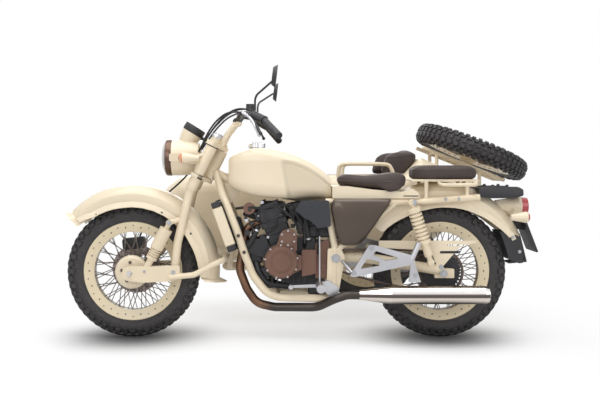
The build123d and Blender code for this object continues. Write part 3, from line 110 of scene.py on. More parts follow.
class Finish(Wiring):
    # A material, its shader, the place that its textures read, and the surface so far.
    def __init__(self, name):
        self.material = bpy.data.materials.new(name)
        self.material.use_nodes = True
        super().__init__(self.material.node_tree)
        self.shader = self.tree.nodes["Principled BSDF"]
        self.where = self.add("ShaderNodeTexCoord").outputs["Object"]
        self.normal = None

    def axes(self, centre, turn=(0, 0, 0)):
        # X, Y and Z from a piece's own middle, which the later textures use too.
        mapping = self.add("ShaderNodeMapping", vector_type="TEXTURE")
        mapping.inputs["Location"].default_value = centre
        mapping.inputs["Rotation"].default_value = turn
        self.link(self.where, mapping.inputs["Vector"])
        self.where = mapping.outputs["Vector"]
        parts = self.add("ShaderNodeSeparateXYZ")
        self.link(self.where, parts.inputs[0])
        return [parts.outputs[key] for key in ("X", "Y", "Z")]

    def stretched(self, scale):
        mapping = self.add("ShaderNodeMapping")
        mapping.inputs["Scale"].default_value = scale
        self.link(self.where, mapping.inputs["Vector"])
        return mapping.outputs["Vector"]

    def noise(self, scale, detail=3.0, where=None):
        texture = self.add("ShaderNodeTexNoise")
        texture.inputs["Scale"].default_value = scale
        texture.inputs["Detail"].default_value = detail
        self.link(where or self.where, texture.inputs["Vector"])
        return texture.outputs["Fac"]

    def cells(self, scale):
        texture = self.add("ShaderNodeTexVoronoi", feature="DISTANCE_TO_EDGE")
        texture.inputs["Scale"].default_value = scale
        self.link(self.where, texture.inputs["Vector"])
        return texture.outputs["Distance"]

    def colours(self, value, stops):
        # stops columns: place, colour from 0 to 255.
        node = self.add("ShaderNodeValToRGB")
        ramp = node.color_ramp
        while len(ramp.elements) < len(stops):
            ramp.elements.new(0.5)
        for element, (position, colour) in zip(ramp.elements, stops):
            element.position = position
            element.color = toBlender(colour)
        self.link(value, node.inputs["Fac"])
        return node.outputs["Color"]

    def blendColour(self, share, first, second):
        node = self.add("ShaderNodeMix", data_type="RGBA")
        self.link(share, node.inputs["Factor"])
        for socket, colour in ((node.inputs[6], first), (node.inputs[7], second)):
            if isinstance(colour, (tuple, list)):
                socket.default_value = toBlender(colour)
            else:
                self.link(colour, socket)
        return node.outputs[2]

    def paint(self, colour):
        if isinstance(colour, (tuple, list)):
            self.shader.inputs["Base Color"].default_value = toBlender(colour)
        else:
            self.link(colour, self.shader.inputs["Base Color"])

    def bump(self, height, distance, strength=1.0):
        node = self.add("ShaderNodeBump")
        node.inputs["Strength"].default_value = strength
        node.inputs["Distance"].default_value = distance
        self.link(height, node.inputs["Height"])
        if self.normal:
            self.link(self.normal, node.inputs["Normal"])
        self.normal = node.outputs["Normal"]
        self.link(self.normal, self.shader.inputs["Normal"])

    def gloss(self, scale, low, high):
        self.link(self.spread(self.noise(scale), low, high), self.shader.inputs["Roughness"])

    def set(self, **values):
        # Constant values by the shader's socket names, with _ for a space.
        for key, value in values.items():
            self.shader.inputs[key.replace("_", " ")].default_value = value


def mottled(name, colour, drift, roughness, uneven, metallic, coat, coatRoughness, scale, depth, grain):
    # A painted or moulded finish: a little variation of tone, uneven gloss and a fine surface.
    finish = Finish(name)
    dark = [c * (1 - drift) for c in colour]
    light = [min(255, c * (1 + drift)) for c in colour]
    finish.paint(finish.colours(finish.noise(5.0), [(0.3, dark), (0.7, light)]))
    finish.gloss(12.0, roughness - uneven, roughness + uneven)
    finish.bump(finish.noise(scale, 2.0), depth, grain)
    finish.set(Metallic=metallic, Coat_Weight=coat, Coat_Roughness=coatRoughness)


# Columns: colour, drift of tone, roughness, its drift, metallic, coat, the coat's roughness, and the grain's
# scale, depth and strength.
plainFinishes = {
    "creamPaint": ((226, 211, 184), 0.015, 0.42, 0.05, 0, 0.35, 0.12, 420, 0.00012, 0.2),
    "tubePaint": ((224, 208, 180), 0.03, 0.46, 0.05, 0, 0.25, 0.08, 500, 0.00012, 0.25),
    "sideBrown": ((70, 57, 46), 0.05, 0.36, 0.05, 0.45, 0.5, 0.1, 900, 0.00008, 0.3),
    "engineBrown": ((112, 82, 69), 0.08, 0.44, 0.05, 0.35, 0, 0.08, 650, 0.00025, 0.35),
    "engineBlack": ((38, 38, 41), 0.15, 0.48, 0.05, 0.2, 0, 0.08, 600, 0.0003, 0.5),
    "blackPlastic": ((38, 37, 40), 0.1, 0.52, 0.05, 0, 0, 0.08, 900, 0.00025, 0.5),
    "airBlack": ((37, 39, 45), 0.08, 0.4, 0.05, 0, 0, 0.08, 900, 0.0002, 0.35),
    "gripRubber": ((32, 31, 32), 0.1, 0.7, 0.05, 0, 0, 0.08, 500, 0.0003, 0.5),
    "castSilver": ((188, 188, 192), 0.06, 0.34, 0.05, 0.9, 0, 0.08, 700, 0.0002, 0.3),
    "steel": ((150, 146, 142), 0.1, 0.34, 0.05, 1, 0, 0.08, 800, 0.0001, 0.3),
    "chrome": ((222, 220, 220), 0.03, 0.1, 0.03, 1, 0, 0.08, 60, 0.00005, 0.1),
    "darkSteel": ((96, 84, 78), 0.12, 0.42, 0.05, 0.8, 0, 0.08, 800, 0.0001, 0.3),
    "dialFace": ((22, 24, 28), 0.1, 0.08, 0.05, 0, 1, 0.08, 200, 0.00005, 0.1),
    "radiatorBlack": ((40, 40, 42), 0.1, 0.5, 0.05, 0.3, 0, 0.08, 300, 0.0002, 0.25),
    "ringBrown": ((96, 74, 62), 0.06, 0.28, 0.05, 0.7, 0, 0.08, 900, 0.0001, 0.2),
    "spokeSteel": ((108, 98, 92), 0.12, 0.38, 0.05, 0.75, 0, 0.08, 900, 0.0001, 0.2),
    "stitching": ((58, 48, 45), 0.1, 0.5, 0.05, 0, 0, 0.08, 900, 0.0002, 0.4),
}
for finishName, look in plainFinishes.items():
    mottled(finishName, *look)


def makeLeather(name):
    # Dark brown hide: small uneven cells, and folds of tone.
    finish = Finish(name)
    cells = finish.cells(520.0)
    finish.paint(finish.colours(finish.noise(9.0, 4.0), [(0.3, (66, 55, 50)), (0.7, (92, 77, 71))]))
    finish.bump(finish.spread(cells, 0.0, 1.0, 0.0, 0.25), 0.0004, 0.35)
    finish.gloss(20.0, 0.46, 0.6)
    finish.set(Sheen_Weight=0.12, Sheen_Roughness=0.5)


def makeRubber(name):
    finish = Finish(name)
    finish.paint(finish.colours(finish.noise(14.0, 4.0), [(0.3, (52, 51, 51)), (0.7, (70, 68, 66))]))
    finish.bump(finish.noise(420.0), 0.0004, 0.4)
    finish.gloss(25.0, 0.6, 0.78)


def makeBrushed(name, colour, roughness, scale):
    # Metal with fine lines along one direction.
    finish = Finish(name)
    lines = finish.noise(1.0, 4.0, finish.stretched(scale))
    dark, light = [c * 0.92 for c in colour], [min(255, c * 1.05) for c in colour]
    finish.paint(finish.colours(lines, [(0.3, dark), (0.7, light)]))
    finish.link(finish.spread(lines, roughness - 0.06, roughness + 0.06), finish.shader.inputs["Roughness"])
    finish.bump(lines, 0.0001, 0.15)
    finish.set(Metallic=1.0)


def makeLens(name, colour, roughness=0.12):
    # Moulded lamp plastic with faint ribs inside.
    finish = Finish(name)
    ribs = finish.noise(180.0, 1.0)
    dark = [c * 0.8 for c in colour]
    finish.paint(finish.colours(ribs, [(0.3, dark), (0.7, colour)]))
    finish.bump(ribs, 0.0003, 0.3)
    finish.set(Roughness=roughness, Coat_Weight=1.0)


# The tank's knee recess, in metres: ahead and lean place its front edge, top and fall its upper one.
recess = dict(ahead=0.035, lean=0.2, top=0.883, fall=1.9, soft=0.02, across=(0.05, 0.08), depth=0.012)


def makeTankPaint(name):
    # Cream with a pressed knee recess each side, soft along its front and top edges, and painted shade in it.
    finish = Finish(name)
    ahead, lean, soft = recess["ahead"], recess["lean"], recess["soft"]
    x, y, z = finish.axes(place(0, 0, 0))
    front = finish.maths("MULTIPLY_ADD", z, lean, finish.maths("ADD", x, ahead - recess["top"] * lean))
    behind = finish.maths("ADD", x, ahead)
    squared = finish.maths("MULTIPLY", behind, behind)
    top = finish.maths("MULTIPLY_ADD", squared, -recess["fall"], recess["top"])
    under = finish.maths("SUBTRACT", top, z)
    sunk = finish.maths("MULTIPLY", finish.spread(front, 0, 1, 0, soft), finish.spread(under, 0, 1, 0, soft))
    flank = finish.spread(finish.maths("ABSOLUTE", y), 0, 1, *recess["across"])
    sunk = finish.maths("MULTIPLY", sunk, flank)
    # Painted shade: the recess is a darker cream than the rest of the tank.
    finish.paint(finish.blendColour(sunk, (229, 213, 186), (212, 197, 171)))
    finish.bump(finish.maths("MULTIPLY", sunk, -1.0), recess["depth"], 0.9)
    finish.bump(finish.noise(420.0), 0.00012, 0.2)
    finish.gloss(12.0, 0.34, 0.44)
    finish.set(Coat_Weight=0.4, Coat_Roughness=0.1)


def makeSilencerChromeWithPaintedReflection(name, middleZ, radius):
    # Polished tube with a painted reflection: the dark line that a bright room leaves along its flank.
    finish = Finish(name)
    height = finish.spread(finish.axes(place(0, 0, middleZ))[2], 0, 1, -radius / 1000, radius / 1000)
    # Painted reflection and painted highlights: light bands and a dark band set by height.
    bands = [(0.0, (86, 80, 76)), (0.08, (150, 142, 136)), (0.2, (226, 216, 208)), (0.36, (216, 206, 198)),
             (0.42, (84, 76, 72)), (0.56, (104, 96, 92)), (0.63, (232, 226, 224)), (0.9, (244, 240, 238)),
             (0.97, (128, 120, 116))]
    finish.paint(finish.colours(height, bands))
    finish.gloss(30.0, 0.14, 0.22)
    finish.set(Metallic=1.0)


def makeBarFinish(name):
    # Cream risers up to the clamp, black above it.
    finish = Finish(name)
    above = finish.spread(finish.axes(place(0, 0, 0))[2], 0, 1, 1.066, 1.068)
    finish.paint(finish.blendColour(above, (226, 211, 184), (36, 35, 37)))
    finish.gloss(12.0, 0.4, 0.5)


def makeHeaderFinish(name):
    # Heat-browned where it leaves the head, dark grey further back under the engine.
    finish = Finish(name)
    back = finish.spread(finish.axes(place(0, 0, 0))[0], 0, 1, -0.13, -0.07)
    heat = finish.colours(finish.noise(14.0), [(0.3, (96, 70, 54)), (0.7, (124, 94, 74))])
    finish.paint(finish.blendColour(back, heat, (70, 64, 60)))
    finish.bump(finish.noise(300.0), 0.0002, 0.3)
    finish.set(Metallic=0.8, Roughness=0.4)


makeLeather("leather")
makeRubber("tyreRubber")
makeTankPaint("tankPaint")
makeSilencerChromeWithPaintedReflection("silencerChrome", 234, 44)
makeBarFinish("barFinish")
makeHeaderFinish("headerFinish")
makeLens("redLens", (186, 26, 40))
makeLens("amberLens", (222, 120, 52))
makeLens("lampGlass", (196, 194, 192), 0.06)
makeBrushed("discSteel", (158, 146, 142), 0.34, (300, 20, 300))

finishOf = {
    "tankPaint": ["fuel_tank"],
    "creamPaint": ["front_fender", "headlamp", "seat_cowl", "rear_fender", "chain_guard",
                   "sidecar_tub", "sidecar_fender", "front_hub_cover", "front_indicators", "sidecar_lamps",
                   "tail_lamps"],
    "tubePaint": ["fork", "leading_link", "front_shocks", "rear_shocks", "main_frame", "pillion_frame",
                  "swingarm",
                  "grab_rails", "spare_carrier", "sidecar_chassis", "front_wheel", "rear_wheel",
                  "sidecar_wheel",
                  "spare_wheel"],
    "sideBrown": ["side_covers"],
    "engineBrown": ["engine_covers"],
    "engineBlack": ["engine_block", "rear_sprocket", "front_caliper", "rear_calipers"],
    "gripRubber": ["control_cables"],
    "airBlack": ["air_cover"],
    "barFinish": ["handlebar"],
    "blackPlastic": ["controls", "mirrors", "rear_flap", "instrument", "luggage_rack"],
    "radiatorBlack": ["radiator"],
    "castSilver": ["peg_trusses", "footrests", "gear_lever"],
    "darkSteel": ["drive_chain"],
    "discSteel": ["front_brake_disc", "rear_brake_disc", "sidecar_brake_disc"],
    "silencerChrome": ["silencer"],
    "chrome": ["filler_cap"],
    "headerFinish": ["exhaust_header"],
    "redLens": ["tail_lenses"],
    "leather": ["rider_seat", "pillion_seat", "sidecar_seat", "sidecar_backrest"],
    "tyreRubber": ["front_tyre", "rear_tyre", "sidecar_tyre", "spare_tyre"],
}
for finishName, members in finishOf.items():
    for member in members:
        nodes[member].data.materials.clear()
        nodes[member].data.materials.append(bpy.data.materials[finishName])
undressed = sorted(set(nodes) - {member for members in finishOf.values() for member in members})
print("finishes done; undressed nodes:", undressed)

ridingOn = {node: name for name,
            members in frame["record"]["behaviour"]["bodies"].items() for node in members}


def newPiece(name, form, finish, body, sharp=34, replaced=()):
    # form is a bmesh drawn in millimetres from the drawing's zero.
    bmesh.ops.remove_doubles(form, verts=form.verts, dist=0.02)
    bmesh.ops.recalc_face_normals(form, faces=form.faces)
    bmesh.ops.scale(form, verts=form.verts, vec=(0.001, 0.001, 0.001))
    bmesh.ops.translate(form, verts=form.verts, vec=drawingZero)
    mesh = bpy.data.meshes.new(name)
    form.to_mesh(mesh)
    form.free()
    finished(name, mesh, finish, body, sharp, replaced)


def finished(name, mesh, finish, body, sharp=34, replaced=()):
    piece = bpy.data.objects.new(name, mesh)
    bpy.context.scene.collection.objects.link(piece)
    mesh.materials.clear()
    mesh.materials.append(bpy.data.materials[finish])
    mesh.shade_smooth()
    mesh.set_sharp_from_angle(angle=math.radians(sharp))
    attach(piece, body)
    if replaced:
        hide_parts(*replaced)


def turned(form, outline, centre=(0, 0, 0), axis=(0, 1, 0), steps=64):
    # Spins an outline of radius and distance along the axis.
    axis = Vector(axis).normalized()
    out = axis.orthogonal().normalized()
    ring = [form.verts.new(Vector(centre) + out * radius + axis * along) for radius, along in outline]
    edges = [form.edges.new(pair) for pair in zip(ring, ring[1:] + ring[:1])]
    bmesh.ops.spin(form, geom=ring + edges, cent=centre, axis=axis, angle=math.tau, steps=steps,
                   use_merge=True)


def bar(form, start, end, diameter, endDiameter=None, sides=12):
    start, end = Vector(start), Vector(end)
    along = end - start
    spot = Matrix.Translation((start + end) / 2) @ along.to_track_quat("Z", "Y").to_matrix().to_4x4()
    bmesh.ops.create_cone(form, cap_ends=True, segments=sides, radius1=diameter / 2,
                          radius2=(endDiameter or diameter) / 2, depth=along.length, matrix=spot)


def bolt(form, spot, axis, size, height):
    # A washer and a hexagon head.
    spot, axis = Vector(spot), Vector(axis).normalized()
    bar(form, spot - axis, spot + axis * height * 0.25, size * 1.35, sides=20)
    bar(form, spot, spot + axis * height, size, size * 0.94, 6)


def block(form, spot, size, turn=None, taper=1.0, bevel=0.0):
    # A cuboid about its own middle, narrowed towards +Z, with its edges rounded.
    matrix = Matrix.Translation(Vector(spot)) @ (turn or Matrix.Identity(4)) @ Matrix.Diagonal((*size, 1))
    verts = bmesh.ops.create_cube(form, size=1.0, matrix=matrix)["verts"]
    if taper != 1.0:
        up = (matrix.to_3x3() @ Vector((0, 0, 1))).normalized()
        middleSpot = matrix.translation
        for vert in verts:
            away = vert.co - middleSpot
            rise = away.dot(up)
            if rise > 0:
                vert.co = middleSpot + up * rise + (away - up * rise) * taper
    if bevel:
        edges = {edge for vert in verts for edge in vert.link_edges}
        bmesh.ops.bevel(form, geom=list(edges), offset=bevel, offset_type="OFFSET", segments=1, profile=0.5,
                        affect="EDGES", material=-1)


def turnedPiece(name, outline, centre, axis, steps, finish, body, sharp=34):
    form = bmesh.new()
    turned(form, outline, centre, axis, steps)
    newPiece(name, form, finish, body, sharp)


def boltPiece(name, bolts, finish, body):
    # Bolts alike on both sides. Columns: x, how far across, z, size, height.
    form = bmesh.new()
    for x, across, z, size, height in bolts:
        for side in bothSides:
            bolt(form, (x, side * across, z), (0, side, 0), size, height)
    newPiece(name, form, finish, body)


def meshOfCurve(name, curve, diameter, roundness):
    curve.dimensions = "3D"
    curve.bevel_depth = diameter / 2000
    curve.bevel_resolution = roundness
    line = bpy.data.objects.new(name + "Line", curve)
    mesh = bpy.data.meshes.new_from_object(line)
    mesh.name = name
    bpy.data.objects.remove(line)
    return mesh


def hose(name, points, diameter, finish="gripRubber", body="chassis", roundness=2):
    # A held hose or cable: a smooth line through the space that the points bound, made a mesh.
    curve = bpy.data.curves.new(name, "CURVE")
    spline = curve.splines.new("NURBS")
    spline.points.add(len(points) - 1)
    for point, spot in zip(spline.points, points):
        point.co = (*place(*spot), 1)
    spline.order_u = 3
    spline.use_endpoint_u = True
    spline.resolution_u = 8
    curve.use_fill_caps = True
    finished(name, meshOfCurve(name, curve, diameter, roundness), finish, body)


# Where each wheel stands: its axle, and the turn that lays the spare down.
spareTurn = Matrix.Rotation(math.radians(22), 4, "Y") @ Matrix.Rotation(math.radians(90), 4, "X")
wheels = {
    "front": dict(axle=(-axleX, 0, axleZ), turn=Matrix.Identity(4)),
    "rear": dict(axle=(axleX, 0, axleZ), turn=Matrix.Identity(4)),
    "sidecar": dict(axle=(510, 1130, axleZ), turn=Matrix.Identity(4)),
    "spare": dict(axle=(1070, 650, 930), turn=spareTurn),
}

tyre = dict(rows=52, bead=241, seat=37, belly=280, half=50.5, tread=318.5, crown=321, height=9.5, sunk=5)
# Lug columns: across, radius of the foot, cant in degrees, length, width, share of a row, growth of every
# other one.
lugs = [(-14.5, 321, 4, 23, 22, 0.0, 1.0), (14.5, 321, -4, 23, 22, 0.0, 1.0),
        (-34.5, 314, 32, 25, 17, 0.5, 1.12), (34.5, 314, -32, 25, 17, 0.5, 1.12),
        (-47, 302, 66, 24, 22, 0.0, 1.5), (47, 302, -66, 24, 22, 0.0, 1.5)]


def drawTyre(form):
    bead, seat, belly, half = (tyre[key] for key in ("bead", "seat", "belly", "half"))
    tread, crown = tyre["tread"], tyre["crown"]
    flank = [(bead, seat), (bead + 5, seat + 5), (bead + 15, half - 6), (belly - 14, half - 2), (belly, half),
             (belly + 16, half - 1.5), (tread - 12, half - 9), (tread - 2, half - 21), (crown - 0.6, 14)]
    turned(form, [(radius, -across) for radius, across in flank] + flank[::-1], steps=104)
    for across, foot, cant, length, width, share, longer in lugs:
        for row in range(tyre["rows"]):
            angle = (row + share) / tyre["rows"] * 360
            grown = longer if row % 2 else 1.0
            drop = (grown - 1) * width / 2
            lean = math.radians(cant)
            side = 1 if across > 0 else -1
            out = across + side * drop * math.cos(lean) * 0.4
            spot = Vector((0, out, foot - drop * abs(math.sin(lean)) + 0.5))
            turn = Matrix.Rotation(math.radians(angle), 4, "Y")
            tall = tyre["height"] + tyre["sunk"] if abs(across) < 45 else 14
            local = turn @ Matrix.Translation(spot) @ Matrix.Rotation(lean, 4, "X")
            block(form, local.translation, (length, width * grown, tall), local.to_3x3().to_4x4(), 0.88)


rimShape = dict(outer=244, half=42, faceIn=193, faceHalf=29)
wheelHub = dict(half=64, flange=62, flangeAt=40, core=34, end=44)
# Lacing: nipples on two staggered circles on each face, and spokes that lean both ways from the hub.
lacing = dict(count=36, radius=222, stagger=4.5, nippleAt=34.2, nippleTall=4.2, spokeEnd=19, hubRadius=56,
              hubStagger=2.6, lean=44, wire=4.4)


def drawRim(form):
    outer, half, inner, innerHalf = (rimShape[key] for key in ("outer", "half", "faceIn", "faceHalf"))
    side = [(inner, innerHalf - 10), (inner + 1, innerHalf - 2), (inner + 4, innerHalf),
            (outer - 20, half - 7), (outer - 8, half - 1), (outer - 3, half + 0.5),
            (outer, half - 2), (outer - 4, half - 7), (outer - 13, half - 14)]
    turned(form, side + [(radius, -across) for radius, across in side[::-1]], steps=104)


def laced():
    # Each spoke's side, the way that it leans, its angle at the rim and its nipple's circle.
    for side in bothSides:
        for number in range(lacing["count"]):
            lean = 1 if number % 2 else -1
            angle = math.tau * (number + 0.5 * (side > 0)) / lacing["count"]
            yield side, lean, angle, lacing["radius"] + lean * lacing["stagger"]


def drawNipples(form):
    for side, lean, angle, radius in laced():
        out = Vector((math.cos(angle), 0, math.sin(angle)))
        spot = out * radius + Vector((0, side * lacing["nippleAt"], 0))
        bar(form, spot, spot + Vector((0, side * lacing["nippleTall"], 0)) - out * 0.8, 7.5, 5.5, 8)


def drawSpokes(form):
    hubRadius = lacing["hubRadius"]
    for side, lean, angle, radius in laced():
        hubAngle = angle - lean * math.radians(lacing["lean"])
        across = side * (wheelHub["flangeAt"] + lean * lacing["hubStagger"])
        start = Vector((math.cos(hubAngle) * hubRadius, across, math.sin(hubAngle) * hubRadius))
        reach = radius - 2
        end = Vector((math.cos(angle) * reach, side * lacing["spokeEnd"], math.sin(angle) * reach))
        bar(form, start, end, lacing["wire"], 4.0, 6)


def drawHub(form):
    half, flange, at, core, end = (wheelHub[key] for key in ("half", "flange", "flangeAt", "core", "end"))
    side = [(11, half), (end - 2, half), (end, half - 2), (end, at + 8), (flange, at + 5),
            (flange + 1, at + 3), (flange, at - 3), (core + 4, at - 9), (core, at - 18)]
    turned(form, [(radius, -across) for radius, across in side] + side[::-1], steps=40)


# Slanting ribs between two radii in metres, rings inside them, and how closely each repeats.
flankRibs = dict(inner=0.262, outer=0.292, edge=0.004, ringsTo=0.256, outward=190, round=150, rings=1400)


def tyreRubberAt(name, axle, turn):
    # Rubber with fine slanting ribs moulded round its flanks, and a tone that varies at random.
    finish = Finish(name)
    inner, outer, edge, ringsTo = (flankRibs[key] for key in ("inner", "outer", "edge", "ringsTo"))
    x, z = finish.axes(place(*axle), turn.to_euler())[::2]
    squares = finish.maths("ADD", finish.maths("MULTIPLY", x, x), finish.maths("MULTIPLY", z, z))
    radius = finish.maths("SQRT", squares)
    swept = finish.maths("MULTIPLY", finish.maths("ARCTAN2", x, z), flankRibs["round"])
    ribs = finish.maths("SINE", finish.maths("MULTIPLY_ADD", radius, flankRibs["outward"], swept))
    band = finish.maths("MULTIPLY", finish.spread(radius, 0, 1, inner, inner + edge),
                        finish.spread(radius, 1, 0, outer, outer + edge))
    wave = finish.maths("SINE", finish.maths("MULTIPLY", radius, flankRibs["rings"]))
    rings = finish.maths("MULTIPLY", wave, finish.spread(radius, 0.5, 0.0, ringsTo, ringsTo + edge))
    height = finish.maths("ADD", finish.maths("MULTIPLY", ribs, band), rings)
    tone = finish.noise(26.0, 4.0)
    finish.paint(finish.colours(tone, [(0.3, (44, 42, 43)), (0.7, (60, 57, 57))]))
    finish.bump(height, 0.0011, 0.8)
    finish.bump(finish.noise(420.0), 0.0004, 0.35)
    finish.gloss(25.0, 0.56, 0.74)
    return name


def rimPaintAt(name, axle, turn):
    # Cream on the faces, and painted shade in the well between them: a darker olive.
    finish = Finish(name)
    across = finish.maths("ABSOLUTE", finish.axes(place(*axle), turn.to_euler())[1])
    paintedWellShade = finish.spread(across, 1.0, 0.0, 0.020, 0.028)
    # Painted shade: the well between the faces is blended to the darker olive.
    finish.paint(finish.blendColour(paintedWellShade, (226, 210, 178), (126, 108, 72)))
    finish.gloss(18.0, 0.36, 0.46)
    finish.bump(finish.noise(420.0), 0.00012, 0.2)
    finish.set(Coat_Weight=0.3, Coat_Roughness=0.12)
    return name


def wireWheel(name, look):
    # Tyre, rim, nipples, spokes and hub of one wheel.
    tyreNode, wheelNode = name + "_tyre", name + "_wheel"
    body = ridingOn[wheelNode]
    axle, turn = look["axle"], look["turn"]
    stand = Matrix.Translation(Vector(axle)) @ turn
    table = [("TyreRubber", drawTyre, tyreRubberAt(name + "Rubber", axle, turn), "tyre", (tyreNode,)),
             ("Rim", drawRim, rimPaintAt(name + "RimPaint", axle, turn), "cream", (wheelNode,)),
             ("Nipples", drawNipples, "darkSteel", "steel", ()),
             ("Spokes", drawSpokes, "spokeSteel", "steel", ()),
             ("Hub", drawHub, "tubePaint", "cream", ())]
    for part, draw, finish, slot, replaced in table:
        form = bmesh.new()
        draw(form)
        bmesh.ops.transform(form, matrix=stand, verts=form.verts)
        newPiece(name + part, form, finish, body, 32, replaced)


for wheelName, wheelLook in wheels.items():
    wireWheel(wheelName, wheelLook)
print("wheels done")


def copyOfNode(node):
    form = bmesh.new()
    form.from_mesh(nodes[node].data)
    bmesh.ops.remove_doubles(form, verts=form.verts, dist=0.00001)
    return form


def meshAsShown(piece):
    # The mesh with its modifiers applied, which are then gone from the piece.
    shown = piece.evaluated_get(bpy.context.evaluated_depsgraph_get())
    mesh = bpy.data.meshes.new_from_object(shown)
    piece.modifiers.clear()
    old = piece.data
    piece.data = mesh
    bpy.data.meshes.remove(old)
    return mesh


clothFrames = 20


def pad(node, look):
    # A stuffed piece in the space of its solid: remeshed, rounded, then blown up a little by cloth.
    form = copyOfNode(node)
    bmesh.ops.recalc_face_normals(form, faces=form.faces)
    form.normal_update()
    for vert in form.verts:
        vert.co -= vert.normal * look["shrink"] / 1000
    mesh = bpy.data.meshes.new(look["name"])
    form.to_mesh(mesh)
    form.free()
    piece = bpy.data.objects.new(look["name"], mesh)
    bpy.context.scene.collection.objects.link(piece)
    remesh = piece.modifiers.new("remesh", "REMESH")
    remesh.mode, remesh.voxel_size = "VOXEL", look["voxel"] / 1000
    meshAsShown(piece)
    rounded = bmesh.new()
    rounded.from_mesh(piece.data)
    for step in range(look["rounds"]):
        bmesh.ops.smooth_vert(rounded, verts=rounded.verts, factor=0.5, use_axis_x=True, use_axis_y=True,
                              use_axis_z=True)
    if look.get("shape"):
        for vert in rounded.verts:
            vert.co = place(*look["shape"]((vert.co - drawingZero) * 1000))
    rounded.to_mesh(piece.data)
    rounded.free()
    rest = [vert.co.copy() for vert in piece.data.vertices]
    cloth = piece.modifiers.new("cloth", "CLOTH")
    cloth.settings.quality = 4
    cloth.settings.use_pressure = True
    cloth.settings.uniform_pressure_force = look["pressure"]
    cloth.settings.effector_weights.gravity = 0
    cloth.point_cache.frame_end = clothFrames
    for step in range(1, clothFrames + 1):
        bpy.context.scene.frame_set(step)
    mesh = meshAsShown(piece)
    bpy.context.scene.frame_set(1)
    for vert, start in zip(mesh.vertices, rest):
        moved = vert.co - start
        if moved.length > look["cap"] / 1000:
            vert.co = start + moved.normalized() * look["cap"] / 1000
    smoother = piece.modifiers.new("smoother", "SUBSURF")
    smoother.levels = smoother.render_levels = 1
    mesh = meshAsShown(piece)
    mesh.materials.clear()
    mesh.materials.append(bpy.data.materials["leather"])
    mesh.shade_smooth()
    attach(piece, ridingOn[node])
    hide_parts(node)
    return piece


def welt(name, pad, spot, normal, diameter, body):
    # A sewn cord round a pad, where a plane cuts it.
    form = bmesh.new()
    form.from_mesh(pad.data)
    geometry = form.verts[:] + form.edges[:] + form.faces[:]
    bmesh.ops.bisect_plane(form, geom=geometry, dist=0.00001, plane_co=place(*spot), plane_no=normal,
                           clear_inner=True, clear_outer=True)
    loops, seen = [], set()
    for first in form.verts:
        if first in seen:
            continue
        loop, vert = [], first
        while vert and vert not in seen:
            seen.add(vert)
            loop.append(vert.co.copy())
            others = [edge.other_vert(vert) for edge in vert.link_edges]
            vert = next((other for other in others if other not in seen), None)
        loops.append(loop)
    form.free()
    thinned = max(loops, key=len)[::2]
    curve = bpy.data.curves.new(name, "CURVE")
    spline = curve.splines.new("POLY")
    spline.points.add(len(thinned) - 1)
    for point, spotAt in zip(spline.points, thinned):
        point.co = (*spotAt, 1)
    spline.use_cyclic_u = True
    finished(name, meshOfCurve(name, curve, diameter, 1), "stitching", body)


def pastStart(value, start, over):
    # How far a value is past its start, as a share of the stretch that follows.
    return max(0, (value - start) / over)


riderForm = dict(tail=380, tailOver=110, flank=129, flankOver=7, lip=775, hang=26, nose=320, noseOver=80,
                 narrow=0.3)
pillionForm = dict(nose=690, noseOver=80, noseNarrow=0.42, tail=880, tailOver=66, tailNarrow=0.2)
wings = dict(front=620, frontOver=110, high=820, highOver=110, back=34, drop=26)


def riderShape(spot):
    # The skirt hangs down beside the cowl towards the rear, and the nose is rounded in plan.
    x, y, z = spot
    form = riderForm
    if abs(y) > form["flank"] and z < form["lip"]:
        rear = min(1, pastStart(x, form["tail"], form["tailOver"]))
        z -= form["hang"] * rear * min(1, (abs(y) - form["flank"]) / form["flankOver"])
    ahead = pastStart(-x, -form["nose"], form["noseOver"])
    return x, y * (1 - form["narrow"] * ahead * ahead), z


def pillionShape(spot):
    # Narrower at both ends.
    x, y, z = spot
    form = pillionForm
    ahead = pastStart(-x, -form["nose"], form["noseOver"])
    behind = pastStart(x, form["tail"], form["tailOver"])
    return x, y * (1 - form["noseNarrow"] * ahead * ahead - form["tailNarrow"] * behind * behind), z


def backrestShape(spot):
    # The wings lean back and their tops fall away to the front.
    x, y, z = spot
    ahead = pastStart(-x, -wings["front"], wings["frontOver"])
    high = pastStart(z, wings["high"], wings["highOver"])
    return x + wings["back"] * ahead * high, y, z - wings["drop"] * ahead * ahead * high


# pressure is the cloth's, cap the most that it moves a point, fill what the pad holds of its solid.
pads = {
    "rider_seat": dict(name="riderPad", voxel=5, shrink=2, rounds=14, pressure=4, cap=7, fill=0.8,
                       shape=riderShape),
    "pillion_seat": dict(name="pillionPad", voxel=5, shrink=2, rounds=14, pressure=4, cap=6, fill=0.85,
                         shape=pillionShape),
    "sidecar_backrest": dict(name="backrestPad", voxel=6, shrink=2, rounds=70, pressure=4, cap=12, fill=0.7,
                             shape=backrestShape),
    "sidecar_seat": dict(name="sidecarPad", voxel=6, shrink=4, rounds=14, pressure=4, cap=8, fill=0.8),
}
padPieces = {node: pad(node, look) for node, look in pads.items()}
# Welts columns: name, pad, a place on the plane, its normal, diameter.
welts = [("riderWelt", "rider_seat", (400, 0, 776), (0.02, 0, 1), 4.5),
         ("pillionWelt", "pillion_seat", (780, 0, 832), (0, 0, 1), 4.5),
         ("backrestWelt", "sidecar_backrest", (640, sidecarY, 905), (-0.1, 0, 1), 5),
         ("sidecarWelt", "sidecar_seat", (300, sidecarY, 492), (0.1, 0, 1), 5)]
for weltName, node, spot, normal, diameter in welts:
    welt(weltName, padPieces[node], spot, normal, diameter, ridingOn[node])
print("pads and welts done")


headlamp = dict(centre=(-594, 0, 893), outer=90, inner=80, deep=27)
dial = dict(centre=(-461, 0, 1029), tilt=32)


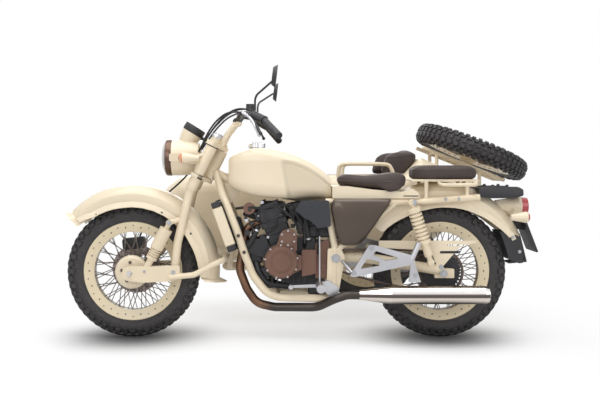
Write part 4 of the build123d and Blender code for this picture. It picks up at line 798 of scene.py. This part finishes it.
def makeHeadlampParts():
    # A brown ring round the lens, the domed glass, and the shell running on towards the fork.
    out, inner, deep = headlamp["outer"], headlamp["inner"], headlamp["deep"]
    ring = [(inner, -5), (out - 4, -5), (out, -2), (out + 1.5, 4), (out + 1.5, deep - 5), (out - 0.5, deep),
            (inner, deep)]
    glass = [(0, -28), (30, -26.5), (56, -21), (72, -14.5), (82, -8), (86.5, -2), (86.5, 3), (0, 3)]
    shell = [(0, 24), (89.6, 24), (90, 60), (88, 100), (84, 132), (72, 158), (44, 168), (0, 168)]
    along = (1, 0, 0)
    turnedPiece("headlampRing", ring, headlamp["centre"], along, 72, "ringBrown", "steering")
    turnedPiece("headlampGlass", glass, headlamp["centre"], along, 64, "lampGlass", "steering", 50)
    turnedPiece("headlampShell", shell, headlamp["centre"], along, 72, "creamPaint", "steering")
    # A bowl on top carries the dial's black can.
    tilt = math.radians(dial["tilt"])
    up = Vector((math.sin(tilt), 0, math.cos(tilt)))
    bowl = [(0, -14), (51, -14), (50, -30), (44, -62), (38, -92), (0, -96)]
    can = [(0, -17), (52, -17), (54.5, -13), (54.5, 14), (52, 19), (48, 19), (46, 13), (0, 13)]
    face = [(0, 13.5), (45.5, 13.5), (45.5, 14.5), (0, 16.5)]
    turnedPiece("dialBowl", bowl, dial["centre"], up, 48, "creamPaint", "steering", 45)
    turnedPiece("dialCan", can, dial["centre"], up, 56, "blackPlastic", "steering")
    turnedPiece("dialGlass", face, dial["centre"], up, 48, "dialFace", "steering")
    boltPiece("headlampScrews", [(-548, 88.5, 893, 13, 4), (-500, 84, 872, 8, 3)], "darkSteel", "steering")


indicator = dict(across=135, height=889)


def makeIndicatorLenses():
    # columns: name, x, outline, finish, slot
    for name, x, outline, finish, slot in (
            ("indicatorLenses", -506, [(0, -19), (8, -18), (17, -14), (23, -6), (25.5, 0), (25.5, 5), (0, 5)],
             "amberLens", "lamp"),
            ("indicatorBezels", -500, [(24, -4), (27.4, -4), (27.6, 2), (24, 4)], "creamPaint", "cream")):
        form = bmesh.new()
        for side in bothSides:
            turned(form, outline, (x, side * indicator["across"], indicator["height"]), (1, 0, 0), 32)
        newPiece(name, form, finish, "steering")


hubBolts = dict(count=5, circle=48, across=-84, first=98)


def makeFrontBolts():
    # Cap bolts round the front hub's cover, the axle's nuts, the leading arm's bolts and the fender's.
    caps = bmesh.new()
    for number in range(hubBolts["count"]):
        angle = math.tau * number / hubBolts["count"] + math.radians(hubBolts["first"])
        across, up = hubBolts["circle"] * math.cos(angle), hubBolts["circle"] * math.sin(angle)
        bolt(caps, (-axleX + across, hubBolts["across"], axleZ + up), (0, -1, 0), 12, 5)
    newPiece("hubCoverBolts", caps, "darkSteel", "front_wheel")
    nuts = bmesh.new()
    for side in bothSides:
        bolt(nuts, (-axleX, side * 134, axleZ), (0, side, 0), 30, 16)
        bar(nuts, (-axleX, side * 134, axleZ), (-axleX, side * 158, axleZ), 18, 16)
    newPiece("frontAxleNuts", nuts, "castSilver", "steering")
    boltPiece("frontLinkBolts", [(-548, 134, 336, 24, 10), (-688, 136, 340, 16, 8), (-568, 148, 576, 17, 7),
                                 (-604, 134, 318, 8, 4)], "steel", "steering")
    boltPiece("frontFenderBolts", [(-931, 84, 611, 13, 5), (-611, 84, 621, 13, 5), (-469, 84, 519, 13, 5)],
              "darkSteel", "steering")


def makeFrameBolts():
    # The rear fender's, the tail's, the shocks' and the axle's, then the peg plates' and the down tubes'.
    boltPiece("rearFrameBolts", [(1142, 84, 430, 13, 5), (1108, 84, 500, 13, 5), (690, 84, 690, 13, 5),
                                 (772, 124, 688, 14, 6), (836, 124, 690, 14, 6), (608, 176, 675, 24, 9),
                                 (740, 176, 366, 18, 8), (axleX, 134, axleZ, 28, 9)], "steel", "chassis")
    boltPiece("trussBolts", [(405, 204, 462, 19, 8), (320, 204, 341, 19, 8), (612, 204, 330, 15, 6),
                             (239, 124, 402, 32, 12), (240, 124, 250, 14, 6)], "steel", "chassis")
    boltPiece("downTubeBolts", [(-234, 129, 512, 13, 5), (-206, 129, 432, 13, 5)], "darkSteel", "chassis")


steeringHead = dict(rake=26.5, centre=(-322, 0, 930), yoke=45, halfSpacing=100)


def makeForkTrim():
    # Cap nuts on the fork, dark bands round its covers and small bolts down its front.
    rake = math.radians(steeringHead["rake"])
    up, fore = Vector((math.sin(rake), 0, math.cos(rake))), Vector((-math.cos(rake), 0, math.sin(rake)))
    head = Vector(steeringHead["centre"]) + fore * steeringHead["yoke"]
    nut = [(0, 0), (25, 0), (25, 8), (20, 13), (15, 13), (13, 22), (0, 22)]
    nuts, bands = bmesh.new(), bmesh.new()
    for side in bothSides:
        foot = head + Vector((0, side * steeringHead["halfSpacing"], 0))
        turned(nuts, nut, foot + up * 44, up, 24)
        for height, tall in ((-6, 3.5), (-158, 3.5), (-174, 6)):
            turned(bands, [(27, 0), (29.2, 0), (29.2, tall), (27, tall)], foot + up * height, up, 32)
        for height in (-40, -52, -128):
            bolt(nuts, foot + up * height + fore * 27, fore, 8, 4)
    newPiece("forkCapNuts", nuts, "castSilver", "steering")
    newPiece("forkBands", bands, "gripRubber", "steering")


fillerCap = dict(x=-148, foot=930, ribs=24, radius=43, ribHeight=952)


def makeFillerCap():
    # The ribbed cap and its collar.
    form = bmesh.new()
    outline = [(0, 37), (34, 37), (38, 34), (43.5, 32), (43.5, 12), (40, 10), (40, 4), (46, 2),
               (46, -8), (0, -8)]
    turned(form, outline, (fillerCap["x"], 0, fillerCap["foot"]), (0, 0, 1), 64)
    for number in range(fillerCap["ribs"]):
        angle = math.tau * number / fillerCap["ribs"]
        along, across = fillerCap["radius"] * math.cos(angle), fillerCap["radius"] * math.sin(angle)
        spot = (fillerCap["x"] + along, across, fillerCap["ribHeight"])
        block(form, spot, (3, 6, 17), Matrix.Rotation(angle, 4, "Z"), 0.8)
    newPiece("fillerCap", form, "chrome", "chassis", replaced=("filler_cap",))


def plate(form, outline, near, far, rounding):
    # A flat plate in the side view, its corners rounded, its two faces at the given distances across.
    face = form.faces.new([form.verts.new((x, near, z)) for x, z in outline])
    bmesh.ops.bevel(form, geom=list(face.verts), offset=rounding, offset_type="OFFSET", segments=4,
                    profile=0.5, affect="VERTICES", material=-1)
    form.faces.ensure_lookup_table()
    face = form.faces[-1]
    grown = bmesh.ops.extrude_face_region(form, geom=[face])["geom"]
    bmesh.ops.translate(form, verts=[item for item in grown if isinstance(item, bmesh.types.BMVert)],
                        vec=(0, far - near, 0))
    return next(item for item in grown if isinstance(item, bmesh.types.BMFace))


sideCover = dict(outline=[(212, 652), (226, 691), (372, 693), (510, 691), (478, 640), (372, 490), (338, 467),
                          (262, 467), (240, 520)], inner=128, outer=152, rounding=16)


def makeSideCovers():
    # Crowned shields with a rolled edge, pressed out in the middle.
    for side, name in ((-1, "leftSideCover"), (1, "rightSideCover")):
        form = bmesh.new()
        inner, outer = side * sideCover["inner"], side * sideCover["outer"]
        top = plate(form, sideCover["outline"], inner, outer, sideCover["rounding"])
        centre = top.calc_center_bounds()
        # columns: how much each ring shrinks, how far out
        for share, rise in ((0.975, 5), (0.96, 9), (0.94, 13), (0.86, 17), (0.76, 20.5), (0.55, 23)):
            bmesh.ops.inset_region(form, faces=[top], thickness=0.01, depth=0)
            for vert in top.verts:
                drawn = centre + (vert.co - centre) * share
                vert.co = Vector((drawn.x, outer + side * rise, drawn.z))
        bmesh.ops.poke(form, faces=[top])
        newPiece(name, form, "sideBrown", "chassis", 75, ("side_covers",) if side < 0 else ())
    boltPiece("sideCoverScrews", [(238, 153, 676, 7, 4), (486, 153, 680, 7, 4), (300, 153, 478, 7, 4)],
              "darkSteel", "chassis")


cylinder = dict(foot=(-10, 0, 440), lean=20)


def onEngine(x, y, z):
    # A place on the leaning cylinder, from its foot.
    lean = math.radians(cylinder["lean"])
    up, back = Vector((-math.sin(lean), 0, math.cos(lean))), Vector((math.cos(lean), 0, math.sin(lean)))
    return Vector(cylinder["foot"]) + back * x + Vector((0, y, 0)) + up * z


def makeEngineDetail():
    # Bolts on the covers and the head, ribs on the case, fins on the cylinder and clips on the hoses.
    silver, dark, fins = bmesh.new(), bmesh.new(), bmesh.new()
    # columns: count, first in degrees, middle, radius, size, height
    for count, first, x, y, z, radius, size, height in ((9, 12, -25, -157, 390, 79, 9, 4),
                                                        (6, 30, 7, -151, 503, 34, 7, 3)):
        for number in range(count):
            angle = math.tau * number / count + math.radians(first)
            spot = (x + radius * math.cos(angle), y, z + radius * math.sin(angle))
            bolt(silver, spot, (0, -1, 0), size, height)
    for x, z in ((-46, 142), (46, 142), (-58, 20), (58, 24), (-54, 86), (54, 84)):
        bolt(silver, onEngine(x, -92, z), (0, -1, 0), 11, 6)
    for *spot, size, height in ((-177, -76, 455, 22, 10), (-196, -90, 585, 14, 6), (-120, -92, 672, 12, 6)):
        bolt(silver, spot, (0, -1, 0), size, height)
    for number in range(7):
        block(dark, (-70 + number * 26, -118, 300), (7, 16, 34), None, 0.8, 1.5)
    for number in range(6):
        fin = onEngine(0, -88, 34 + number * 12)
        block(fins, fin, (112, 12, 4.5), Matrix.Rotation(math.radians(-cylinder["lean"]), 4, "Y"), 1.0, 1)
    for *spot, wide, tall in ((-78, -84, 560, 46, 30), (-36, -96, 610, 40, 26), (-140, -78, 600, 30, 44),
                              (-118, -70, 500, 38, 26), (60, -88, 560, 34, 46), (96, -84, 520, 30, 30)):
        block(dark, spot, (wide, 26, tall), Matrix.Rotation(math.radians(-14), 4, "Y"), 0.86, 4)
    newPiece("engineBolts", silver, "castSilver", "chassis")
    newPiece("engineRibs", dark, "engineBlack", "chassis")
    newPiece("engineFins", fins, "engineBlack", "chassis")
    clips = bmesh.new()
    for spot, axis, size in (((-252, -76, 461), (26, -16, -24), 14.5), ((-146, -87, 534), (10, 4, 24), 14.5),
                             ((95, -104, 622), (-2, -8, -20), 13.4), ((106, -107, 498), (4, 6, -26), 13.4)):
        turned(clips, [(size - 2, -4), (size, -4), (size, 4), (size - 2, 4)], spot, axis, 24)
    newPiece("hoseClips", clips, "castSilver", "chassis")


# Fender skirts: across and high place the upper edge.
# edge columns: degrees from the rear, radius of the lower edge
skirts = {
    "frontFenderSkirts": dict(
        x=-axleX, across=87.5, high=384, body="steering",
        edge=[(-4, 338), (4, 328), (24, 319), (60, 318), (100, 318), (124, 324), (136, 350)]),
    "rearFenderSkirts": dict(
        x=axleX, across=84, high=398, body="chassis",
        edge=[(27, 372), (40, 350), (60, 330), (84, 318), (104, 314), (124, 322), (146, 348)]),
}
skirtSteps = 4


def drawSkirt(form, look, side):
    # A fender's turned-in flank about its wheel's axle, rolled along its lower edge.
    edge, high = look["edge"], look["high"]
    rings = []
    for (first, low), (second, lowAfter) in zip(edge, edge[1:]):
        for step in range(skirtSteps + (second == edge[-1][0])):
            share = step / skirtSteps
            angle = math.radians(first + (second - first) * share)
            foot = low + (lowAfter - low) * share
            section = [(high, 0), (foot + 33, 0.5), (foot + 30, -1.5), (foot + 26, 0.5), (foot + 9, 0.8),
                       (foot + 3, 3), (foot, 1), (foot + 4, -1.8), (foot + 10, -2.4), (high, -3)]
            rings.append([form.verts.new((look["x"] + radius * math.cos(angle), side * (look["across"] + out),
                                          axleZ + radius * math.sin(angle))) for radius, out in section])
    form.faces.new(rings[0])
    form.faces.new(rings[-1])
    for one, other in zip(rings, rings[1:]):
        for number, vert in enumerate(one):
            form.faces.new((vert, one[number - 1], other[number - 1], other[number]))


def makeSkirts():
    for name, look in skirts.items():
        form = bmesh.new()
        for side in bothSides:
            drawSkirt(form, look, side)
        newPiece(name, form, "creamPaint", look["body"], 50)


radiator = dict(x=-305, across=134, z=557, back=80, rise=221, capAt=112)


def makeRadiatorGuards():
    # A rounded cream cover along each end of the radiator, between black caps.
    lean = Matrix.Rotation(-math.atan2(radiator["back"], radiator["rise"]), 4, "Y")
    covers, caps = bmesh.new(), bmesh.new()
    for side in bothSides:
        spot = Vector((radiator["x"], side * radiator["across"], radiator["z"]))
        block(covers, spot, (50, 12, 196), lean, 1.0, 5)
        for end in bothSides:
            away = lean.to_3x3() @ Vector((0, 0, end * radiator["capAt"]))
            block(caps, spot + away, (42, 14, 30), lean, 1.0, 4)
    newPiece("radiatorCovers", covers, "creamPaint", "chassis")
    newPiece("radiatorCaps", caps, "blackPlastic", "chassis")


def makeClutchLever():
    # The lever, its ball end and its perch.
    route = [(-196, -238, 1090), (-178, -262, 1082), (-156, -290, 1052), (-138, -322, 1012),
             (-128, -340, 996)]
    ball = [(0, -9), (6, -7.5), (9, -3), (9, 3), (6, 7.5), (0, 9)]
    hose("clutchLever", route, 13, "castSilver", "steering")
    form = bmesh.new()
    turned(form, ball, (-127, -341, 994), (0.3, -0.5, -0.5), 20)
    block(form, (-196, -240, 1096), (36, 26, 14), Matrix.Rotation(0.5, 4, "Y"), 0.9, 3)
    newPiece("clutchLeverEnd", form, "castSilver", "steering")


# Places across of the inner and outer face, and the outline in the side view.
flapSide = dict(inner=76, outer=80, outline=[(1046, 530), (1098, 524), (1146, 502), (1158, 440), (1164, 376),
                                             (1140, 372), (1090, 392), (1078, 440), (1062, 490)])
rackFlank = dict(inner=96, outer=107, outline=[(936, 702), (938, 744), (1000, 751), (1128, 749), (1154, 736),
                                               (1156, 706), (1118, 694), (1000, 692)])


def makeRearParts():
    # The flap's side walls, the rack's moulded flanks and feet, and the chain guard's and cowl's slots.
    flaps, rack = bmesh.new(), bmesh.new()
    for side in bothSides:
        plate(flaps, flapSide["outline"], side * flapSide["inner"], side * flapSide["outer"], 6)
    newPiece("flapSides", flaps, "blackPlastic", "chassis")
    for side in bothSides:
        top = plate(rack, rackFlank["outline"], side * rackFlank["inner"], side * rackFlank["outer"], 7)
        bmesh.ops.inset_region(rack, faces=[top], thickness=5, depth=0)
        for vert in top.verts:
            vert.co.y += side * 3
    block(rack, (946, 0, 730), (18, 206, 26), None, 1.0, 4)
    for x in (1010, 1080):
        for y in (-84, 84):
            turned(rack, [(0, 0), (8, 0), (8, 8), (5, 11), (0, 11)], (x, y, 748), (0, 0, 1), 16)
    newPiece("rackFlanks", rack, "blackPlastic", "chassis")
    face = (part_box("chain_guard")[0] - drawingZero).y * 1000
    slot = bmesh.new()
    plate(slot, [(748, 436), (848, 436), (838, 424), (746, 424)], face - 0.6, face + 0.6, 3)
    newPiece("guardSlot", slot, "engineBlack", "chassis")
    cowl = bmesh.new()
    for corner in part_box("seat_cowl"):
        edge = (corner - drawingZero).y * 1000
        plate(cowl, [(566, 707), (640, 707), (640, 702), (566, 702)], edge - 0.6, edge + 0.6, 1.5)
    newPiece("cowlSlots", cowl, "engineBlack", "chassis")


grabRails = dict(diameter=22, hoops=[(285, 382), (345, 898)], far=590, foot=782, top=861)


def makeGrabRails():
    foot, top, far = grabRails["foot"], grabRails["top"], grabRails["far"]
    for number, (start, y) in enumerate(grabRails["hoops"]):
        route = [(start, y, foot), (start + 1, y, foot + 34), (start + 8, y, top - 4), (start + 54, y, top),
                 (start + 130, y, top), (far - 60, y, top), (far - 12, y, top - 10), (far, y, foot)]
        hose("grabRail" + str(number + 1), route, grabRails["diameter"], "tubePaint", "chassis", 3)
    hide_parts("grab_rails")


# Columns: x, y, z, length, depth, height, degrees of lean.
bayBoxesAndShade = [
    (128, 0, 616, 170, 150, 120, 0), (40, -20, 634, 70, 110, 74, -12), (-70, 10, 650, 120, 110, 50, 0),
    (-176, 0, 620, 70, 80, 56, 20), (160, -20, 530, 110, 130, 60, 0), (116, -30, 470, 60, 120, 70, 0),
    (-226, 6, 540, 30, 90, 120, -20), (-150, -30, 400, 60, 80, 60, -10), (-100, -40, 330, 70, 110, 50, -8),
    (214, 0, 600, 24, 150, 150, 0),
]


def makeEngineBay():
    # What stands between the frame's tubes behind the cylinder: air box, throttle body, coil and plugs.
    # These black blocks are partly real parts and partly a dark backing of painted shade between the tubes.
    boxesAndShade, plugs, silver = bmesh.new(), bmesh.new(), bmesh.new()
    for *spot, length, depth, height, lean in bayBoxesAndShade:
        block(boxesAndShade, spot, (length, depth, height), Matrix.Rotation(math.radians(lean), 4, "Y"), 0.94, 6)
    scatter = random.Random(11)
    for number in range(30):
        x, z = scatter.uniform(-205, 200), scatter.uniform(520, 668)
        if x < -60 and z > 640:
            continue
        size = (scatter.uniform(12, 30), scatter.uniform(14, 26), scatter.uniform(10, 26))
        spot = (x, scatter.uniform(-92, -72), z)
        block(plugs, spot, size, Matrix.Rotation(scatter.uniform(-0.6, 0.6), 4, "Y"), 0.9, 2)
        if number % 4 == 0:
            bolt(silver, (x + 16, -94, z - 8), (0, -1, 0), 8, 5)
    newPiece("engineBayBoxesAndShade", boxesAndShade, "engineBlack", "chassis")
    newPiece("engineBayPlugs", plugs, "blackPlastic", "chassis")
    newPiece("engineBayBolts", silver, "castSilver", "chassis")


# Hoses and leads columns: name, diameter, route.
hoses = [
    ("radiatorHose", 26, [(-262, -70, 470), (-236, -86, 446), (-190, -96, 452),
                          (-160, -92, 500), (-138, -84, 556)]),
    ("waterHose", 24, [(96, -96, 640), (92, -112, 600), (98, -116, 540), (108, -104, 486)]),
    ("breatherHose", 12, [(-60, -96, 664), (-20, -112, 640), (24, -112, 600),
                          (52, -108, 560), (60, -100, 520)]),
    ("starterLead", 9, [(-96, -92, 640), (-60, -104, 612), (-40, -108, 572),
                        (-62, -104, 540), (-96, -96, 520)]),
    ("sensorLead", 7, [(60, -104, 650), (40, -116, 624), (60, -120, 588), (84, -118, 560)]),
    ("mainLoom", 13, [(-250, -60, 640), (-190, -84, 652), (-120, -96, 640),
                      (-60, -100, 652), (20, -98, 662)]),
    ("coilLead", 8, [(-206, -70, 600), (-176, -92, 580), (-160, -98, 540), (-176, -90, 500)]),
    ("throttleCable", 7, [(-40, -90, 668), (10, -108, 650), (44, -112, 610), (30, -106, 580)]),
    ("drainHose", 11, [(150, -92, 540), (158, -108, 500), (150, -112, 460), (156, -100, 420)]),
    ("fuelHose", 9, [(110, -80, 682), (118, -104, 660), (146, -112, 640), (170, -104, 610)]),
]


def makeHoses():
    for name, diameter, route in hoses:
        hose(name, route, diameter)


discHoles = dict(count=30, radii=(97, 106, 115), deep=5.6, diameter=7)


def makeDiscHoles():
    # columns: wheel, its disc's face across from the wheel's middle
    for name, across in (("front", 64.1), ("rear", 64.1), ("sidecar", -69.5)):
        x, y, z = wheels[name]["axle"]
        form = bmesh.new()
        for number in range(discHoles["count"]):
            angle = math.tau * number / discHoles["count"]
            radius = discHoles["radii"][number % 3]
            spot = Vector((x + radius * math.cos(angle), y + across, z + radius * math.sin(angle)))
            bar(form, spot, spot + Vector((0, discHoles["deep"], 0)), discHoles["diameter"], sides=10)
        newPiece(name + "DiscHoles", form, "engineBlack", name + "_wheel")


for build in (makeHeadlampParts, makeIndicatorLenses, makeFrontBolts, makeFrameBolts, makeForkTrim,
              makeFillerCap,
              makeSideCovers, makeEngineDetail, makeSkirts, makeRadiatorGuards, makeClutchLever,
              makeRearParts,
              makeGrabRails, makeEngineBay, makeHoses, makeDiscHoles):
    build()
print("lamps, trim and engine detail done")

# Where the shot is taken from, and where its middle falls on a picture of width and depth in pixels.
shot = dict(x=-32, distance=4200, height=855, millimetresPerPixel=5.0, middleX=280, middleZ=165, width=600,
            depth=400, sensor=36)
camera = bpy.data.objects.new("camera", bpy.data.cameras.new("camera"))
bpy.context.scene.collection.objects.link(camera)
camera.location = place(shot["x"], -shot["distance"], shot["height"])
camera.rotation_euler = (math.radians(90), 0, 0)
camera.data.sensor_width = shot["sensor"]
camera.data.lens = shot["sensor"] * shot["distance"] / (shot["width"] * shot["millimetresPerPixel"])
camera.data.shift_x = (shot["width"] / 2 - shot["middleX"]) / shot["width"]
camera.data.shift_y = (shot["middleZ"] - shot["depth"] / 2) / shot["width"]
camera.data.clip_end = 100
bpy.context.scene.camera = camera

# Lamps columns: name, place in millimetres, aimed at, width, height, power.
lamps = [
    ("topLamp", (-200, -600, 3600), (0, 300, 500), 3.8, 3.0, 104),
    ("frontLamp", (-1500, -4200, 2400), (0, 0, 500), 3.0, 2.4, 58),
    ("sideLamp", (3000, -2600, 1800), (200, 200, 500), 2.4, 2.4, 22),
    ("backLamp", (-500, 3800, 2600), (0, 300, 600), 3.0, 2.0, 60),
]
for name, spot, target, width, height, power in lamps:
    light = bpy.data.lights.new(name, "AREA")
    light.shape = "RECTANGLE"
    light.size, light.size_y, light.energy = width, height, power
    lamp = bpy.data.objects.new(name, light)
    bpy.context.scene.collection.objects.link(lamp)
    lamp.location = place(*spot)
    lamp.rotation_euler = (place(*target) - place(*spot)).to_track_quat("-Z", "Y").to_euler()

world = bpy.data.worlds.new("studio")
bpy.context.scene.world = world
world.use_nodes = True
tree = world.node_tree
ambient = tree.nodes["Background"]
ambient.inputs["Color"].default_value = (0.95, 0.97, 1.0, 1)
ambient.inputs["Strength"].default_value = 0.38
seen = tree.nodes.new("ShaderNodeBackground")
seen.inputs["Color"].default_value = (1, 1, 1, 1)
seen.inputs["Strength"].default_value = 1.0
studio = Wiring(tree)
rays = studio.add("ShaderNodeLightPath").outputs
mixer = studio.add("ShaderNodeMixShader")
seenDirectly = studio.maths("MAXIMUM", rays["Is Camera Ray"], rays["Is Glossy Ray"])
studio.link(studio.maths("MAXIMUM", seenDirectly, rays["Is Transmission Ray"]), mixer.inputs["Fac"])
for number, background in ((1, ambient), (2, seen)):
    studio.link(background.outputs[0], mixer.inputs[number])
studio.link(mixer.outputs[0], tree.nodes["World Output"].inputs["Surface"])

floorMesh = bmesh.new()
bmesh.ops.create_grid(floorMesh, x_segments=2, y_segments=2, size=30)
bmesh.ops.translate(floorMesh, verts=floorMesh.verts, vec=drawingZero)
floor = bpy.data.objects.new("floor", bpy.data.meshes.new("floor"))
floorMesh.to_mesh(floor.data)
floorMesh.free()
bpy.context.scene.collection.objects.link(floor)
floorPaint = Finish("floorPaint")
floorPaint.paint((246, 246, 246))
floorPaint.set(Roughness=0.9, Specular_IOR_Level=0.1)
# White to the camera further out, and a painted soft shadow under each of the motorcycle's two wheels.
floorPlace = floorPaint.add("ShaderNodeTexCoord").outputs["Object"]
smooth = "SMOOTHERSTEP"


def howFar(x, y):
    apart = floorPaint.add("ShaderNodeVectorMath", operation="DISTANCE")
    floorPaint.link(floorPlace, apart.inputs[0])
    apart.inputs[1].default_value = place(x, y, 0)
    return apart.outputs["Value"]


# Painted shadows: a dark patch on the floor's colour under each wheel.
paintedWheelShadows = [floorPaint.spread(howFar(x, 0), 0.06, 1.0, 0.0, 0.6, smooth) for x in (-axleX, axleX)]
shade = floorPaint.maths("MULTIPLY", *paintedWheelShadows)
floorPaint.paint(floorPaint.blendColour(shade, (8, 8, 9), (249, 249, 249)))
white = floorPaint.add("ShaderNodeEmission")
white.inputs["Strength"].default_value = 1.0
path = floorPaint.add("ShaderNodeLightPath")
seenFar = floorPaint.add("ShaderNodeMixShader")
toCamera = floorPaint.maths("MAXIMUM", path.outputs["Is Camera Ray"], path.outputs["Is Glossy Ray"])
lifted = floorPaint.maths("MULTIPLY", floorPaint.spread(howFar(0, -300), 0.62, 1.0, 0.9, 2.3, smooth), shade)
floorPaint.link(floorPaint.maths("MULTIPLY", lifted, toCamera), seenFar.inputs["Fac"])
floorPaint.link(floorPaint.shader.outputs[0], seenFar.inputs[1])
floorPaint.link(white.outputs[0], seenFar.inputs[2])
floorPaint.link(seenFar.outputs[0], floorPaint.tree.nodes["Material Output"].inputs["Surface"])
floor.data.materials.append(floorPaint.material)
bpy.context.scene.view_settings.view_transform = "Standard"
print("camera, light and floor done")
